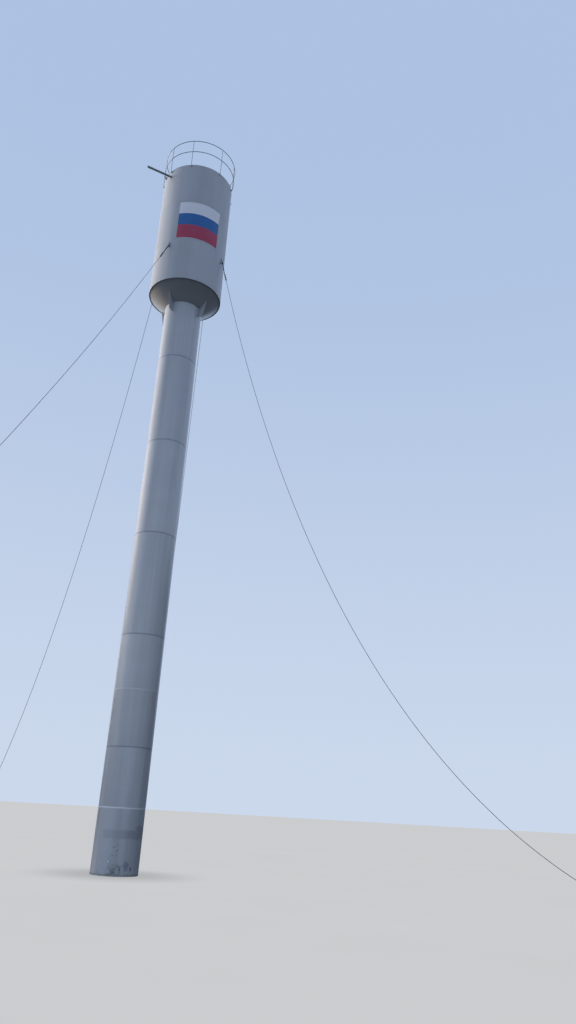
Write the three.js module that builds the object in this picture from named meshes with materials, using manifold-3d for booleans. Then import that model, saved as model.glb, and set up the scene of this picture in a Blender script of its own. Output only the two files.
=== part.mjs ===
// A steel water tower: a cylindrical tank on one plate column, held by four guy stays.
// Millimetres, +Z up. The origin is the centre of the column's foot at ground level.
// A bearing is an angle in degrees about the tower, from the front (-Y) towards +X.
import * as THREE from 'three';
import { mergeVertices } from 'three/addons/utils/BufferGeometryUtils.js';
import Module from 'manifold-3d';

const wasm = await Module();
wasm.setup();

// Driving dimensions
const SIDES = 48; // flat sides of each round shell
const SEAT_GAP = 0.3; // between a welded-on piece and its seat

const COLUMN_RADIUS = 610;
const COLUMN_PLATE = 6;
const FOOT_PLATE = 20;
const COLUMN_TOP = 17160;
const COLUMN_SEAMS = [1590, 3090, 4590, 6090, 9090, 12090, 15090]; // girth welds that show

const TANK_RADIUS = 1200;
const TANK_PLATE = 5;
const TANK_BOTTOM = 17630;
const TANK_TOP = 22400;
const TANK_RINGS = 3;
const RIM_LIP = 25; // the wall hangs this far below the bottom cone's edge

const ROOF_RISE = 200;
const ROOF_FLAT_RADIUS = 110;
const VENT_RADIUS = 57;
const VENT_HEIGHT = 170;
const VENT_CAP = { radius: 110, edge: 20, rise: 60 };
const HATCH_RADIUS = 300;
const HATCH_PLATE = 5;
const HATCH_OFFSET = 640; // from the axis to the hatch's centre
const HATCH_BEARING = 150;
const HATCH_TOP = TANK_TOP + 260;
const HATCH_LID_RADIUS = 335;
const HATCH_LID_HEIGHT = 40;

const GUSSET_PLATE = 10;
const GUSSET_REACH = 900; // radius of the outer top corner
const GUSSET_FOOT = 780; // radius of the outer low corner
const GUSSET_DROP = 360; // from the column's top to the gusset's low edge
const GUSSET_BEARINGS = { front_left: -45, front_right: 45, back_right: 135, back_left: -135 };

// Each stay's lug on the tank, its anchor on the ground, and its hanging curve's scale: larger is tighter
const GUYS = {
  front_left: { lug: -45, anchor: -45, scale: 30000 },
  front_right: { lug: 52.5, anchor: 52.5, scale: 6640 },
  back_right: { lug: 135, anchor: 168, scale: 8000 },
  back_left: { lug: -135, anchor: -160.5, scale: 8000 },
};
const GUY_RADIUS = 7;
const GUY_SIDES = 8;
const GUY_STEPS = 30;
const GUY_ANCHOR_RADIUS = 12000;
const GUY_ANCHOR_HEIGHT = 220;
const LUG_PLATE = 12;
const LUG_LOW = 18920;
const LUG_HIGH = 19140;
const LUG_REACH = 80; // out from the tank wall
const LUG_CORNER = 20;
const LUG_TIP = 90; // upright edge at the reach
const LUG_TOP = 25; // level edge at the top
const LUG_PIN_HOLE = 10;
const LUG_PIN = { reach: 50, height: 18960 };

const STAKE_RADIUS = 30;
const STAKE_LEAN = 30; // degrees from upright, away from the tower
const STAKE_TOP = 330;

const RAIL_CIRCLE = 1240;
const RAIL_TUBE = 12.5;
const POST_TUBE = 11;
const RAIL_HEIGHTS = [570, 1050]; // above the tank's top edge
const POST_COUNT = 9;
const POST_FRONT_GAP = 49.5; // degrees between the two posts at the front
const POSTS_PER_SECTION = 3;
const POST_TAB = { width: 8, height: 70 };

const LIFTING_BEARINGS = { left: -82.5, right: 97.5 };
const LIFTING_PLATE = 14;
const LIFTING_HOLE = { reach: 58, rise: 8, radius: 18 };
const LIFTING = { foot: 20, reach: 95, corner: 22, low: 90, shoulder: 20, high: 45 };

const PIPE_BEARING = -63.75;
const PIPE_RADIUS = 38;
const PIPE_BORE = 34;
const PIPE_LENGTH = 960;
const PIPE_FALL = 0.28; // fall per unit length, away from the wall
const PIPE_HEIGHT = 22150;

// Finishes
const paint = new THREE.MeshStandardMaterial({ color: 0xb4b8ba, roughness: 0.45, metalness: 0.1 });
const darkPaint = new THREE.MeshStandardMaterial({ color: 0x4b5157, roughness: 0.5, metalness: 0.2 });
const galvanized = new THREE.MeshStandardMaterial({ color: 0x7c8184, roughness: 0.55, metalness: 0.8 });
const wireRope = new THREE.MeshStandardMaterial({ color: 0x565b60, roughness: 0.6, metalness: 0.7 });

const tower = new THREE.Group();

function radians(degrees) {
  return degrees * Math.PI / 180;
}

// Adds one named piece to a group.
function add(name, geometry, material, parent = tower) {
  const mesh = new THREE.Mesh(geometry, material);
  mesh.name = name;
  parent.add(mesh);
  return mesh;
}

// A group whose +X points straight out from the axis at the given bearing.
function facing(bearing) {
  const group = new THREE.Group();
  group.rotation.z = radians(bearing - 90);
  tower.add(group);
  return group;
}

// Turns a closed profile of [radius, height] points about the tower's axis.
function turned(profile, sides = SIDES) {
  const points = [...profile, profile[0]].map(([radius, height]) => new THREE.Vector2(radius, height));
  return new THREE.LatheGeometry(points, sides).rotateX(Math.PI / 2);
}

// A round shell between two heights.
function shell(radius, plate, low, high) {
  return turned([[radius - plate, low], [radius, low], [radius, high], [radius - plate, high]]);
}

function polygonShape(radius, sides) {
  const shape = new THREE.Shape();
  for (let i = 0; i < sides; i += 1) {
    const angle = (i + 0.5) * 2 * Math.PI / sides;
    const x = radius * Math.cos(angle);
    const y = radius * Math.sin(angle);
    if (i === 0) shape.moveTo(x, y);
    else shape.lineTo(x, y);
  }
  shape.closePath();
  return shape;
}

// An upright plate in a facing group: outline points are [radius, height], thickness is across.
function uprightPlate(outline, thickness, holes = []) {
  const shape = new THREE.Shape(outline.map(([radius, height]) => new THREE.Vector2(radius, height)));
  for (const hole of holes) {
    const path = new THREE.Path();
    path.absarc(hole.x, hole.z, hole.radius, 0, 2 * Math.PI, true);
    shape.holes.push(path);
  }
  const geometry = new THREE.ExtrudeGeometry(shape, { depth: thickness, bevelEnabled: false, curveSegments: 12 });
  return geometry.translate(0, 0, -thickness / 2).rotateX(Math.PI / 2);
}

function solid(geometry) {
  const source = geometry.clone();
  source.deleteAttribute('normal');
  source.deleteAttribute('uv');
  const merged = mergeVertices(source, 1e-3);
  return new wasm.Manifold(new wasm.Mesh({
    numProp: 3,
    vertProperties: new Float32Array(merged.attributes.position.array),
    triVerts: new Uint32Array(merged.index.array),
  }));
}

function geometryOf(body) {
  const mesh = body.getMesh();
  const geometry = new THREE.BufferGeometry();
  geometry.setAttribute('position', new THREE.BufferAttribute(new Float32Array(mesh.vertProperties), 3));
  geometry.setIndex(new THREE.BufferAttribute(new Uint32Array(mesh.triVerts), 1));
  return geometry;
}

function joined(geometries) {
  return geometryOf(geometries.map(solid).reduce((whole, piece) => whole.add(piece)));
}

// A round bar from one point to another.
function bar(from, to, radius, sides = 8) {
  const start = new THREE.Vector3(...from);
  const along = new THREE.Vector3(...to).sub(start);
  const geometry = new THREE.CylinderGeometry(radius, radius, along.length(), sides);
  geometry.translate(0, along.length() / 2, 0);
  const turn = new THREE.Quaternion().setFromUnitVectors(new THREE.Vector3(0, 1, 0), along.clone().normalize());
  return geometry.applyQuaternion(turn).translate(start.x, start.y, start.z);
}

function block(size, centre) {
  return new THREE.BoxGeometry(...size).translate(...centre);
}

// Column: a foot plate, and rings of rolled plate on each other
function addColumn() {
  add('foot_plate', turned([[0, 0], [COLUMN_RADIUS, 0], [COLUMN_RADIUS, FOOT_PLATE], [0, FOOT_PLATE]]), paint);
  const levels = [FOOT_PLATE, ...COLUMN_SEAMS, COLUMN_TOP];
  for (let i = 0; i < levels.length - 1; i += 1) {
    add(`column_ring_${i + 1}`, shell(COLUMN_RADIUS, COLUMN_PLATE, levels[i], levels[i + 1]), paint);
  }
}

// Tank: a bottom cone on the column, a wall of rings and a shallow roof
const CONE_EDGE = { radius: TANK_RADIUS - TANK_PLATE - SEAT_GAP, height: TANK_BOTTOM + RIM_LIP };
const CONE_SLOPE = (CONE_EDGE.height - COLUMN_TOP) / (CONE_EDGE.radius - COLUMN_RADIUS);

function coneUnderside(radius) {
  return COLUMN_TOP + (radius - COLUMN_RADIUS) * CONE_SLOPE;
}

function addTank() {
  const rise = TANK_PLATE * Math.hypot(1, CONE_SLOPE);
  add('tank_bottom_cone', turned([
    [COLUMN_RADIUS - COLUMN_PLATE, COLUMN_TOP],
    [COLUMN_RADIUS, COLUMN_TOP],
    [CONE_EDGE.radius, CONE_EDGE.height],
    [CONE_EDGE.radius, CONE_EDGE.height + rise],
    [COLUMN_RADIUS - COLUMN_PLATE, COLUMN_TOP + rise],
  ]), paint);
  const ringHeight = (TANK_TOP - TANK_BOTTOM) / TANK_RINGS;
  for (let i = 0; i < TANK_RINGS; i += 1) {
    const low = TANK_BOTTOM + i * ringHeight;
    add(`tank_ring_${i + 1}`, shell(TANK_RADIUS, TANK_PLATE, low, low + ringHeight), paint);
  }
  add('tank_roof', turned([
    [0, TANK_TOP + ROOF_RISE - TANK_PLATE],
    [ROOF_FLAT_RADIUS, TANK_TOP + ROOF_RISE - TANK_PLATE],
    [TANK_RADIUS - TANK_PLATE, TANK_TOP],
    [TANK_RADIUS, TANK_TOP],
    [TANK_RADIUS, TANK_TOP + TANK_PLATE],
    [ROOF_FLAT_RADIUS, TANK_TOP + ROOF_RISE],
    [0, TANK_TOP + ROOF_RISE],
  ]), paint);
}

// Roof fittings: a capped vent at the top and a manhole with its lid
function addRoofFittings() {
  const seat = TANK_TOP + ROOF_RISE;
  add('roof_vent', turned([
    [0, seat],
    [VENT_RADIUS, seat],
    [VENT_RADIUS, seat + VENT_HEIGHT],
    [VENT_CAP.radius, seat + VENT_HEIGHT],
    [VENT_CAP.radius, seat + VENT_HEIGHT + VENT_CAP.edge],
    [0, seat + VENT_HEIGHT + VENT_CAP.rise],
  ], 16), paint);

  const spot = facing(HATCH_BEARING);
  const neck = new THREE.Shape();
  neck.absarc(0, 0, HATCH_RADIUS, 0, 2 * Math.PI, false);
  const bore = new THREE.Path();
  bore.absarc(0, 0, HATCH_RADIUS - HATCH_PLATE, 0, 2 * Math.PI, true);
  neck.holes.push(bore);
  const tube = new THREE.ExtrudeGeometry(neck, {
    depth: HATCH_TOP - TANK_TOP, bevelEnabled: false, curveSegments: 24,
  }).translate(HATCH_OFFSET, 0, TANK_TOP);
  const underRoof = turned([
    [0, TANK_TOP - ROOF_RISE],
    [TANK_RADIUS + TANK_PLATE, TANK_TOP - ROOF_RISE],
    [TANK_RADIUS + TANK_PLATE, TANK_TOP + TANK_PLATE + SEAT_GAP],
    [TANK_RADIUS, TANK_TOP + TANK_PLATE + SEAT_GAP],
    [ROOF_FLAT_RADIUS, TANK_TOP + ROOF_RISE + SEAT_GAP],
    [0, TANK_TOP + ROOF_RISE + SEAT_GAP],
  ]).rotateZ(radians(90 - HATCH_BEARING));
  add('hatch_neck', geometryOf(solid(tube).subtract(solid(underRoof))), paint, spot);
  const lid = new THREE.CylinderGeometry(HATCH_LID_RADIUS, HATCH_LID_RADIUS, HATCH_LID_HEIGHT, 32);
  lid.rotateX(Math.PI / 2).translate(HATCH_OFFSET, 0, HATCH_TOP + HATCH_LID_HEIGHT / 2);
  add('hatch_lid', lid, paint, spot);
}

// Gussets between the column's top and the bottom cone, a quarter turn apart
function addGussets() {
  for (const [side, bearing] of Object.entries(GUSSET_BEARINGS)) {
    const inner = COLUMN_RADIUS + SEAT_GAP;
    const low = COLUMN_TOP - GUSSET_DROP;
    const outline = [
      [inner, low],
      [GUSSET_FOOT, low],
      [GUSSET_REACH, coneUnderside(GUSSET_REACH) - SEAT_GAP * 2],
      [inner, coneUnderside(inner) - SEAT_GAP * 2],
    ];
    add(`gusset_${side}`, uprightPlate(outline, GUSSET_PLATE), paint, facing(bearing));
  }
}

// Guy stays: a hanging curve in the upright plane from the lug to the anchor, with x out and z up
class HangingCurve extends THREE.Curve {
  constructor(scale, from, to) {
    super();
    this.scale = scale;
    this.low = HangingCurve.lowestX(scale, from, to);
    this.base = from.z - scale * Math.cosh((from.x - this.low) / scale);
    this.startLength = scale * Math.sinh((from.x - this.low) / scale);
    this.endLength = scale * Math.sinh((to.x - this.low) / scale);
  }

  static lowestX(scale, from, to) {
    let near = from.x;
    let far = to.x + 12 * scale;
    for (let i = 0; i < 80; i += 1) {
      const middle = (near + far) / 2;
      const drop = scale * (Math.cosh((to.x - middle) / scale) - Math.cosh((from.x - middle) / scale));
      if (drop > to.z - from.z) near = middle;
      else far = middle;
    }
    return (near + far) / 2;
  }

  getPoint(t, target = new THREE.Vector3()) {
    const length = this.startLength + t * (this.endLength - this.startLength);
    const angle = Math.asinh(length / this.scale);
    return target.set(this.low + this.scale * angle, 0, this.base + this.scale * Math.cosh(angle));
  }
}

const TURNBUCKLE = { jaw: 70, neck: 55, frame: 230, socket: 90, screw: 8, socketRadius: 15, ear: 8, width: 36 };
const TURNBUCKLE_LENGTH = TURNBUCKLE.jaw + 2 * TURNBUCKLE.neck + TURNBUCKLE.frame + TURNBUCKLE.socket;
const ANCHOR_SOCKET = 120;

function onBearing(radius, bearing) {
  const angle = radians(bearing - 90);
  return new THREE.Vector2(radius * Math.cos(angle), radius * Math.sin(angle));
}

// A group at the wall beside a lug, whose +X points to the lug's anchor, with how far that is
// and how far it turns from straight out.
function guySpot(guy) {
  const wall = onBearing(TANK_RADIUS, guy.lug);
  const away = onBearing(GUY_ANCHOR_RADIUS, guy.anchor).sub(wall);
  const group = new THREE.Group();
  group.position.set(wall.x, wall.y, 0);
  group.rotation.z = away.angle();
  tower.add(group);
  return { group, distance: away.length(), turn: away.angle() - wall.angle() };
}

// The stay's straight ends lie along the rope's own direction there, so both are found together.
function guyLine(scale, distance) {
  const pin = new THREE.Vector3(LUG_PIN.reach, 0, LUG_PIN.height);
  const eye = new THREE.Vector3(distance, 0, GUY_ANCHOR_HEIGHT);
  let start = pin.clone();
  let end = eye.clone();
  let curve = new HangingCurve(scale, start, end);
  for (let i = 0; i < 20; i += 1) {
    const away = curve.getTangent(0);
    const towards = curve.getTangent(1);
    start = pin.clone().addScaledVector(away, TURNBUCKLE_LENGTH + SEAT_GAP);
    end = eye.clone().addScaledVector(towards, -ANCHOR_SOCKET - SEAT_GAP);
    curve = new HangingCurve(scale, start, end);
  }
  return { pin, eye, curve, away: curve.getTangent(0), towards: curve.getTangent(1) };
}

// A turnbuckle along +X from its pin at the origin: a jaw, two screws, an open frame and a rope socket
function turnbuckle() {
  const { ear, width } = TURNBUCKLE;
  const side = LUG_PLATE / 2 + SEAT_GAP + ear / 2;
  const reach = side + ear / 2;
  const pinHead = 6;
  const overlap = 2;
  const crown = { length: 22, screwInside: 40, block: 24, spread: 44 };
  const arm = { width: 8, depth: 16, offset: 18 };
  const frameStart = TURNBUCKLE.jaw + TURNBUCKLE.neck;
  const frameEnd = frameStart + TURNBUCKLE.frame;
  const socketStart = frameEnd + TURNBUCKLE.neck;
  const pieces = [
    bar([0, -reach - pinHead, 0], [0, reach + pinHead, 0], LUG_PIN_HOLE - SEAT_GAP, 12),
    block([crown.length, 2 * reach, width], [TURNBUCKLE.jaw - crown.length / 2, 0, 0]),
    bar([TURNBUCKLE.jaw - overlap, 0, 0], [frameStart + crown.screwInside, 0, 0], TURNBUCKLE.screw),
    bar([frameEnd - crown.screwInside, 0, 0], [socketStart + overlap, 0, 0], TURNBUCKLE.screw),
    bar([socketStart, 0, 0], [socketStart + TURNBUCKLE.socket, 0, 0], TURNBUCKLE.socketRadius),
  ];
  for (const sign of [-1, 1]) {
    const earLength = TURNBUCKLE.jaw + width / 2;
    pieces.push(block([earLength, ear, width], [TURNBUCKLE.jaw - earLength / 2, sign * side, 0]));
    pieces.push(block([TURNBUCKLE.frame, arm.width, arm.depth],
      [frameStart + TURNBUCKLE.frame / 2, sign * arm.offset, 0]));
    const end = sign < 0 ? frameStart + crown.block / 2 : frameEnd - crown.block / 2;
    pieces.push(block([crown.block, crown.spread, crown.block], [end, 0, 0]));
  }
  return joined(pieces);
}

function tilted(geometry, direction, origin) {
  const turn = Math.atan2(direction.z, direction.x);
  return geometry.rotateY(-turn).translate(origin.x, origin.y, origin.z);
}

// The lug faces its anchor, so its inner edge is cut to lie flat along the wall.
function guyLug(turn) {
  const geometry = uprightPlate(
    [[0, LUG_LOW], [LUG_REACH - LUG_CORNER, LUG_LOW], [LUG_REACH, LUG_LOW + LUG_CORNER],
      [LUG_REACH, LUG_LOW + LUG_TIP], [LUG_TOP, LUG_HIGH], [0, LUG_HIGH]],
    LUG_PLATE,
    [{ x: LUG_PIN.reach, z: LUG_PIN.height, radius: LUG_PIN_HOLE }],
  );
  const place = geometry.attributes.position;
  for (let i = 0; i < place.count; i += 1) {
    if (place.getX(i) < 1) place.setX(i, SEAT_GAP / Math.cos(turn) + place.getY(i) * Math.tan(turn));
  }
  return geometry;
}

function addGuy(side, guy) {
  const { group, distance, turn } = guySpot(guy);
  const line = guyLine(guy.scale, distance);
  add(`guy_lug_${side}`, guyLug(turn), paint, group);
  add(`turnbuckle_${side}`, tilted(turnbuckle(), line.away, line.pin), galvanized, group);
  add(`guy_stay_${side}`, new THREE.ExtrudeGeometry(polygonShape(GUY_RADIUS, GUY_SIDES), {
    steps: GUY_STEPS, extrudePath: line.curve,
  }), wireRope, group);

  const lean = radians(STAKE_LEAN);
  const foot = [line.eye.x - line.eye.z * Math.tan(lean), 0, 0];
  const along = (height) => [foot[0] + height * Math.tan(lean), 0, height];
  const socketEnd = line.eye.clone().addScaledVector(line.towards, -ANCHOR_SOCKET);
  const stake = solid(bar(along(-STAKE_TOP), along(STAKE_TOP), STAKE_RADIUS, 12));
  const socket = solid(bar(line.eye.toArray(), socketEnd.toArray(), TURNBUCKLE.socketRadius));
  const ground = solid(block([1000, 1000, 600], [foot[0], 0, -300]));
  add(`guy_anchor_${side}`, geometryOf(stake.add(socket).subtract(ground)), galvanized, group);
}

// Roof railing: posts outside the wall's top edge and two round rails, in three sections
class RailArc extends THREE.Curve {
  constructor(height, from, to) {
    super();
    Object.assign(this, { height, from, to });
  }

  getPoint(t, target = new THREE.Vector3()) {
    const angle = radians(this.from + t * (this.to - this.from) - 90);
    return target.set(RAIL_CIRCLE * Math.cos(angle), RAIL_CIRCLE * Math.sin(angle), this.height);
  }
}

function postPieces(bearing) {
  const angle = radians(bearing - 90);
  const foot = TANK_TOP - POST_TAB.height;
  const post = bar([RAIL_CIRCLE, 0, foot], [RAIL_CIRCLE, 0, TANK_TOP + RAIL_HEIGHTS.at(-1)], POST_TUBE);
  const reach = RAIL_CIRCLE - TANK_RADIUS - SEAT_GAP;
  const tab = block([reach, POST_TAB.width, POST_TAB.height],
    [RAIL_CIRCLE - reach / 2, 0, foot + POST_TAB.height / 2]);
  return [post.rotateZ(angle), tab.rotateZ(angle)];
}

function addRailing() {
  const spacing = (360 - POST_FRONT_GAP) / (POST_COUNT - 1);
  const bearings = Array.from({ length: POST_COUNT }, (_, i) => POST_FRONT_GAP / 2 + i * spacing);
  const sections = POST_COUNT / POSTS_PER_SECTION;
  const gapAngle = SEAT_GAP / RAIL_CIRCLE * 180 / Math.PI;
  for (let i = 0; i < sections; i += 1) {
    const posts = bearings.slice(i * POSTS_PER_SECTION, (i + 1) * POSTS_PER_SECTION);
    const from = i === 0 ? 0 : posts[0] - spacing / 2;
    const to = i === sections - 1 ? 360 : posts.at(-1) + spacing / 2;
    const rails = RAIL_HEIGHTS.map((height) => new THREE.ExtrudeGeometry(polygonShape(RAIL_TUBE, 8), {
      steps: 20, extrudePath: new RailArc(TANK_TOP + height, from + gapAngle / 2, to - gapAngle / 2),
    }));
    add(`railing_section_${i + 1}`, joined([...rails, ...posts.flatMap(postPieces)]), paint);
  }
}

// Lifting lugs at the tank's top edge
function addLiftingLugs() {
  const wall = TANK_RADIUS + SEAT_GAP;
  for (const [side, bearing] of Object.entries(LIFTING_BEARINGS)) {
    const low = TANK_TOP - LIFTING.low;
    const high = TANK_TOP + LIFTING.high;
    add(`lifting_lug_${side}`, uprightPlate(
      [[wall, low], [wall + LIFTING.foot, low], [wall + LIFTING.reach, TANK_TOP - LIFTING.shoulder],
        [wall + LIFTING.reach, high - LIFTING.corner], [wall + LIFTING.reach - LIFTING.corner, high], [wall, high]],
      LIFTING_PLATE,
      [{ x: wall + LIFTING_HOLE.reach, z: TANK_TOP + LIFTING_HOLE.rise, radius: LIFTING_HOLE.radius }],
    ), paint, facing(bearing));
  }
}

// Overflow pipe: open tube out of the wall near the top, falling a little outwards
function addOverflow() {
  const ring = polygonShape(PIPE_RADIUS, 16);
  ring.holes.push(new THREE.Path(polygonShape(PIPE_BORE, 16).getPoints().reverse()));
  const tube = new THREE.ExtrudeGeometry(ring, { depth: PIPE_LENGTH, bevelEnabled: false });
  tube.rotateY(Math.PI / 2);
  const shear = new THREE.Matrix4().set(1, 0, 0, 0, 0, 1, 0, 0, -PIPE_FALL, 0, 1, 0, 0, 0, 0, 1);
  tube.applyMatrix4(shear);
  const flat = TANK_RADIUS * Math.cos(Math.PI / SIDES) + SEAT_GAP;
  add('overflow_pipe', tube.translate(flat, 0, PIPE_HEIGHT), darkPaint, facing(PIPE_BEARING));
}

addColumn();
addTank();
addRoofFittings();
addGussets();
for (const [side, guy] of Object.entries(GUYS)) addGuy(side, guy);
addRailing();
addLiftingLugs();
addOverflow();

export default tower;
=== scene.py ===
# %% [markdown]
# # Dressing a steel water tower
#
# The tower is a cylindrical tank of rolled plate on one round column, held by four guy stays.
# Its solids come ready made, as a frame of named nodes at their real size. This lesson gives each
# node the shape and finish that a camera sees: weld beads, paint, chips, stranded rope and screws.
# Bearings are angles in degrees about the tower, from the front (-Y) towards +X.

# %% Load the frame
import math

import bmesh
import bpy
import numpy as np
from mathutils import Matrix, Vector


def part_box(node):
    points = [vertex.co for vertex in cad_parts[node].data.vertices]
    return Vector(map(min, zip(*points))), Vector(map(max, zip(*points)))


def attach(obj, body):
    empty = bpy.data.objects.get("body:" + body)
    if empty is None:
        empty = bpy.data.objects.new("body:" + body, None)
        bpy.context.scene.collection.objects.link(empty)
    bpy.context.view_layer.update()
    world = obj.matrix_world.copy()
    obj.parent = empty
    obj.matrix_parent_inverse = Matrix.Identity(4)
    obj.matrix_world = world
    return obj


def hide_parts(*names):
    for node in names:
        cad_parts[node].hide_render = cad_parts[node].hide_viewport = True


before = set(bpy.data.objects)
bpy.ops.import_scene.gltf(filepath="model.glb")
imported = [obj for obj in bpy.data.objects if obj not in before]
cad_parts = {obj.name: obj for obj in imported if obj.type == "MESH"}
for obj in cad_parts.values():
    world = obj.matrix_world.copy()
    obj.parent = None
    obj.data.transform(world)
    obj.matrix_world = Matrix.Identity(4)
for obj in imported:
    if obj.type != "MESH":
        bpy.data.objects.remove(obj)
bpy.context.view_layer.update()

MM = 0.001
TURN = 2 * math.pi
FRONT = -90.0  # the angle from +X of a bearing of zero

# %% [markdown]
# ## The camera
#
# The photograph was taken from eye height in front of the tower, with the camera tilted up.
# A camera can be aimed with a Track To constraint, but the picture is also rolled a little, so its
# three directions are built here from heading, pitch and roll, and put in the matrix directly.

# %% Stand the camera where the photograph was taken
CAMERA_BEARING = -8.5
CAMERA_DISTANCE = 22.035
EYE_HEIGHT = 1.638
AIM_RIGHT = 10.183  # degrees to the right of the tower's axis
AIM_UP = 21.479
ROLL = 3.280
FOCAL_PIXELS = 769.87
PICTURE_HEIGHT = 1024  # pixels, the long side
SENSOR = 36.0
CLIP_END = 2000


def polar(radius, bearing, height=0.0):
    angle = math.radians(bearing + FRONT)
    return Vector((radius * math.cos(angle), radius * math.sin(angle), height))


def aimed(heading, pitch, roll):
    """The right, up and backward directions of a camera; heading is an angle from +X."""
    level = Vector((math.cos(heading), math.sin(heading), 0))
    forward = level * math.cos(pitch) + Vector((0, 0, math.sin(pitch)))
    right = level.cross(Vector((0, 0, 1)))
    up = right.cross(forward)
    turned_right = right * math.cos(roll) + up * math.sin(roll)
    return turned_right, turned_right.cross(forward), -forward


camera_data = bpy.data.cameras.new("photo_camera")
camera_data.sensor_width = SENSOR
camera_data.lens = FOCAL_PIXELS / PICTURE_HEIGHT * SENSOR
camera_data.clip_end = CLIP_END
camera = bpy.data.objects.new("photo_camera", camera_data)
bpy.context.scene.collection.objects.link(camera)
heading = math.radians(CAMERA_BEARING + 180 + FRONT - AIM_RIGHT)
basis = Matrix(aimed(heading, math.radians(AIM_UP), math.radians(ROLL))).transposed()
eye = polar(CAMERA_DISTANCE, CAMERA_BEARING, EYE_HEIGHT)
camera.matrix_world = Matrix.Translation(eye) @ basis.to_4x4()
bpy.context.scene.camera = camera
print("camera lens", round(camera_data.lens, 2), "mm at", [round(x, 2) for x in camera.location])

# %% [markdown]
# ## Sizes read from the frame
#
# Every size that the solids already settle is measured from them. If the source of the solids
# changes, the looks follow. Only what the solids leave out, such as a bead's height, is set here.

# %% Measure the nodes


def top_of(node):
    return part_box(node)[1].z


def foot_of(node):
    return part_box(node)[0].z


COLUMN_RINGS = sorted(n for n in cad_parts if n.startswith("column_ring_"))
TANK_RINGS = sorted(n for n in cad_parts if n.startswith("tank_ring_"))
COLUMN_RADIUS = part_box("column_ring_1")[1].x
COLUMN_TOP = top_of(COLUMN_RINGS[-1])
COLUMN_PLATE = 6 * MM
TANK_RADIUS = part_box("tank_ring_1")[1].x
TANK_BOTTOM = foot_of("tank_ring_1")
TANK_TOP = top_of(TANK_RINGS[-1])
TANK_PLATE = 5 * MM
print("column", round(COLUMN_RADIUS * 2, 3), "m wide, up to", round(COLUMN_TOP, 2), "m")
print("tank", round(TANK_RADIUS * 2, 3), "m wide,", round(TANK_BOTTOM, 2), "to", round(TANK_TOP, 2), "m up")

# %% [markdown]
# ## Node groups for what the finishes share
#
# Several finishes need the same effects: rain streaks, mottled paint, chips and splashed earth.
# Copying their nodes into each material would hide which values differ. A shader node group is
# built once, with named inputs, and placed in each material with values of its own. A group here
# gives out only masks, tones and heights, and the Principled shader stays in the material.
#
# A tree of nodes is long to write out, so a small class first gives short names to the nodes that
# come up most. It works for a group, for a material and for the world alike.

# %% Give the common nodes short names


class Wiring:
    """Adds nodes to one tree, and links whatever is given as another node's output."""

    def __init__(self, tree):
        self.tree = tree

    def node(self, kind, inputs=None, **settings):
        made = self.tree.nodes.new(kind)
        for key, value in settings.items():
            setattr(made, key, value)
        for key, value in (inputs or {}).items():
            self.feed(made.inputs[key], value)
        return made

    def feed(self, socket, value):
        if isinstance(value, bpy.types.NodeSocket):
            self.tree.links.new(value, socket)
        else:
            socket.default_value = value

    def math(self, operation, a, b=0.0, clamp=False):
        return self.node("ShaderNodeMath", {0: a, 1: b}, operation=operation, use_clamp=clamp).outputs[0]

    def plus(self, a, b, clamp=False):
        return self.math("ADD", a, b, clamp)

    def times(self, a, b):
        return self.math("MULTIPLY", a, b)

    def larger(self, a, b):
        return self.math("MAXIMUM", a, b)

    def step(self, value, low, high):
        """Rises smoothly from 0 at low to 1 at high; high may lie below low."""
        made = self.node("ShaderNodeMapRange", {0: value, 1: low, 2: high}, interpolation_type="SMOOTHSTEP")
        return made.outputs[0]

    def vector(self, operation, a, b=(0.0, 0.0, 0.0)):
        """Works on two vectors; a length and a dot product come out as one number."""
        made = self.node("ShaderNodeVectorMath", {0: a, 1: b}, operation=operation)
        return made.outputs[1 if operation in ("LENGTH", "DOT_PRODUCT") else 0]

    def scaled(self, vector, factor):
        return self.node("ShaderNodeVectorMath", {0: vector, "Scale": factor}, operation="SCALE").outputs[0]

    def parts(self, vector):
        """The three numbers of a vector."""
        return self.node("ShaderNodeSeparateXYZ", {0: vector}).outputs

    def joined(self, x=0.0, y=0.0, z=0.0):
        return self.node("ShaderNodeCombineXYZ", {0: x, 1: y, 2: z}).outputs[0]

    def noise(self, vector, scale, detail=3.0, roughness=0.55):
        inputs = {"Vector": vector, "Scale": scale, "Detail": detail, "Roughness": roughness}
        return self.node("ShaderNodeTexNoise", inputs).outputs[0]

    def waver(self, vector, reach, scale, detail=2.0, roughness=0.55):
        """A noise that swings evenly to both sides of zero."""
        centred = self.math("SUBTRACT", self.noise(vector, scale, detail, roughness), 0.5)
        return self.times(centred, reach)

    def blend(self, share, a, b, mode="MIX"):
        """Two colours, mixed by a share."""
        made = self.node("ShaderNodeMix", {0: share, 6: a, 7: b}, data_type="RGBA", blend_type=mode)
        return made.outputs[2]

    def between(self, share, a, b):
        """Two numbers, mixed by a share."""
        return self.node("ShaderNodeMix", {0: share, 2: a, 3: b}, data_type="FLOAT").outputs[0]


print("short names ready:", ", ".join(name for name in vars(Wiring) if not name.startswith("_")))

# %% [markdown] A node group needs its sockets declared before anything can be linked to them.
# In this version of Blender they are made with interface.new_socket.

# %% Make a node group from a function


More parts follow.
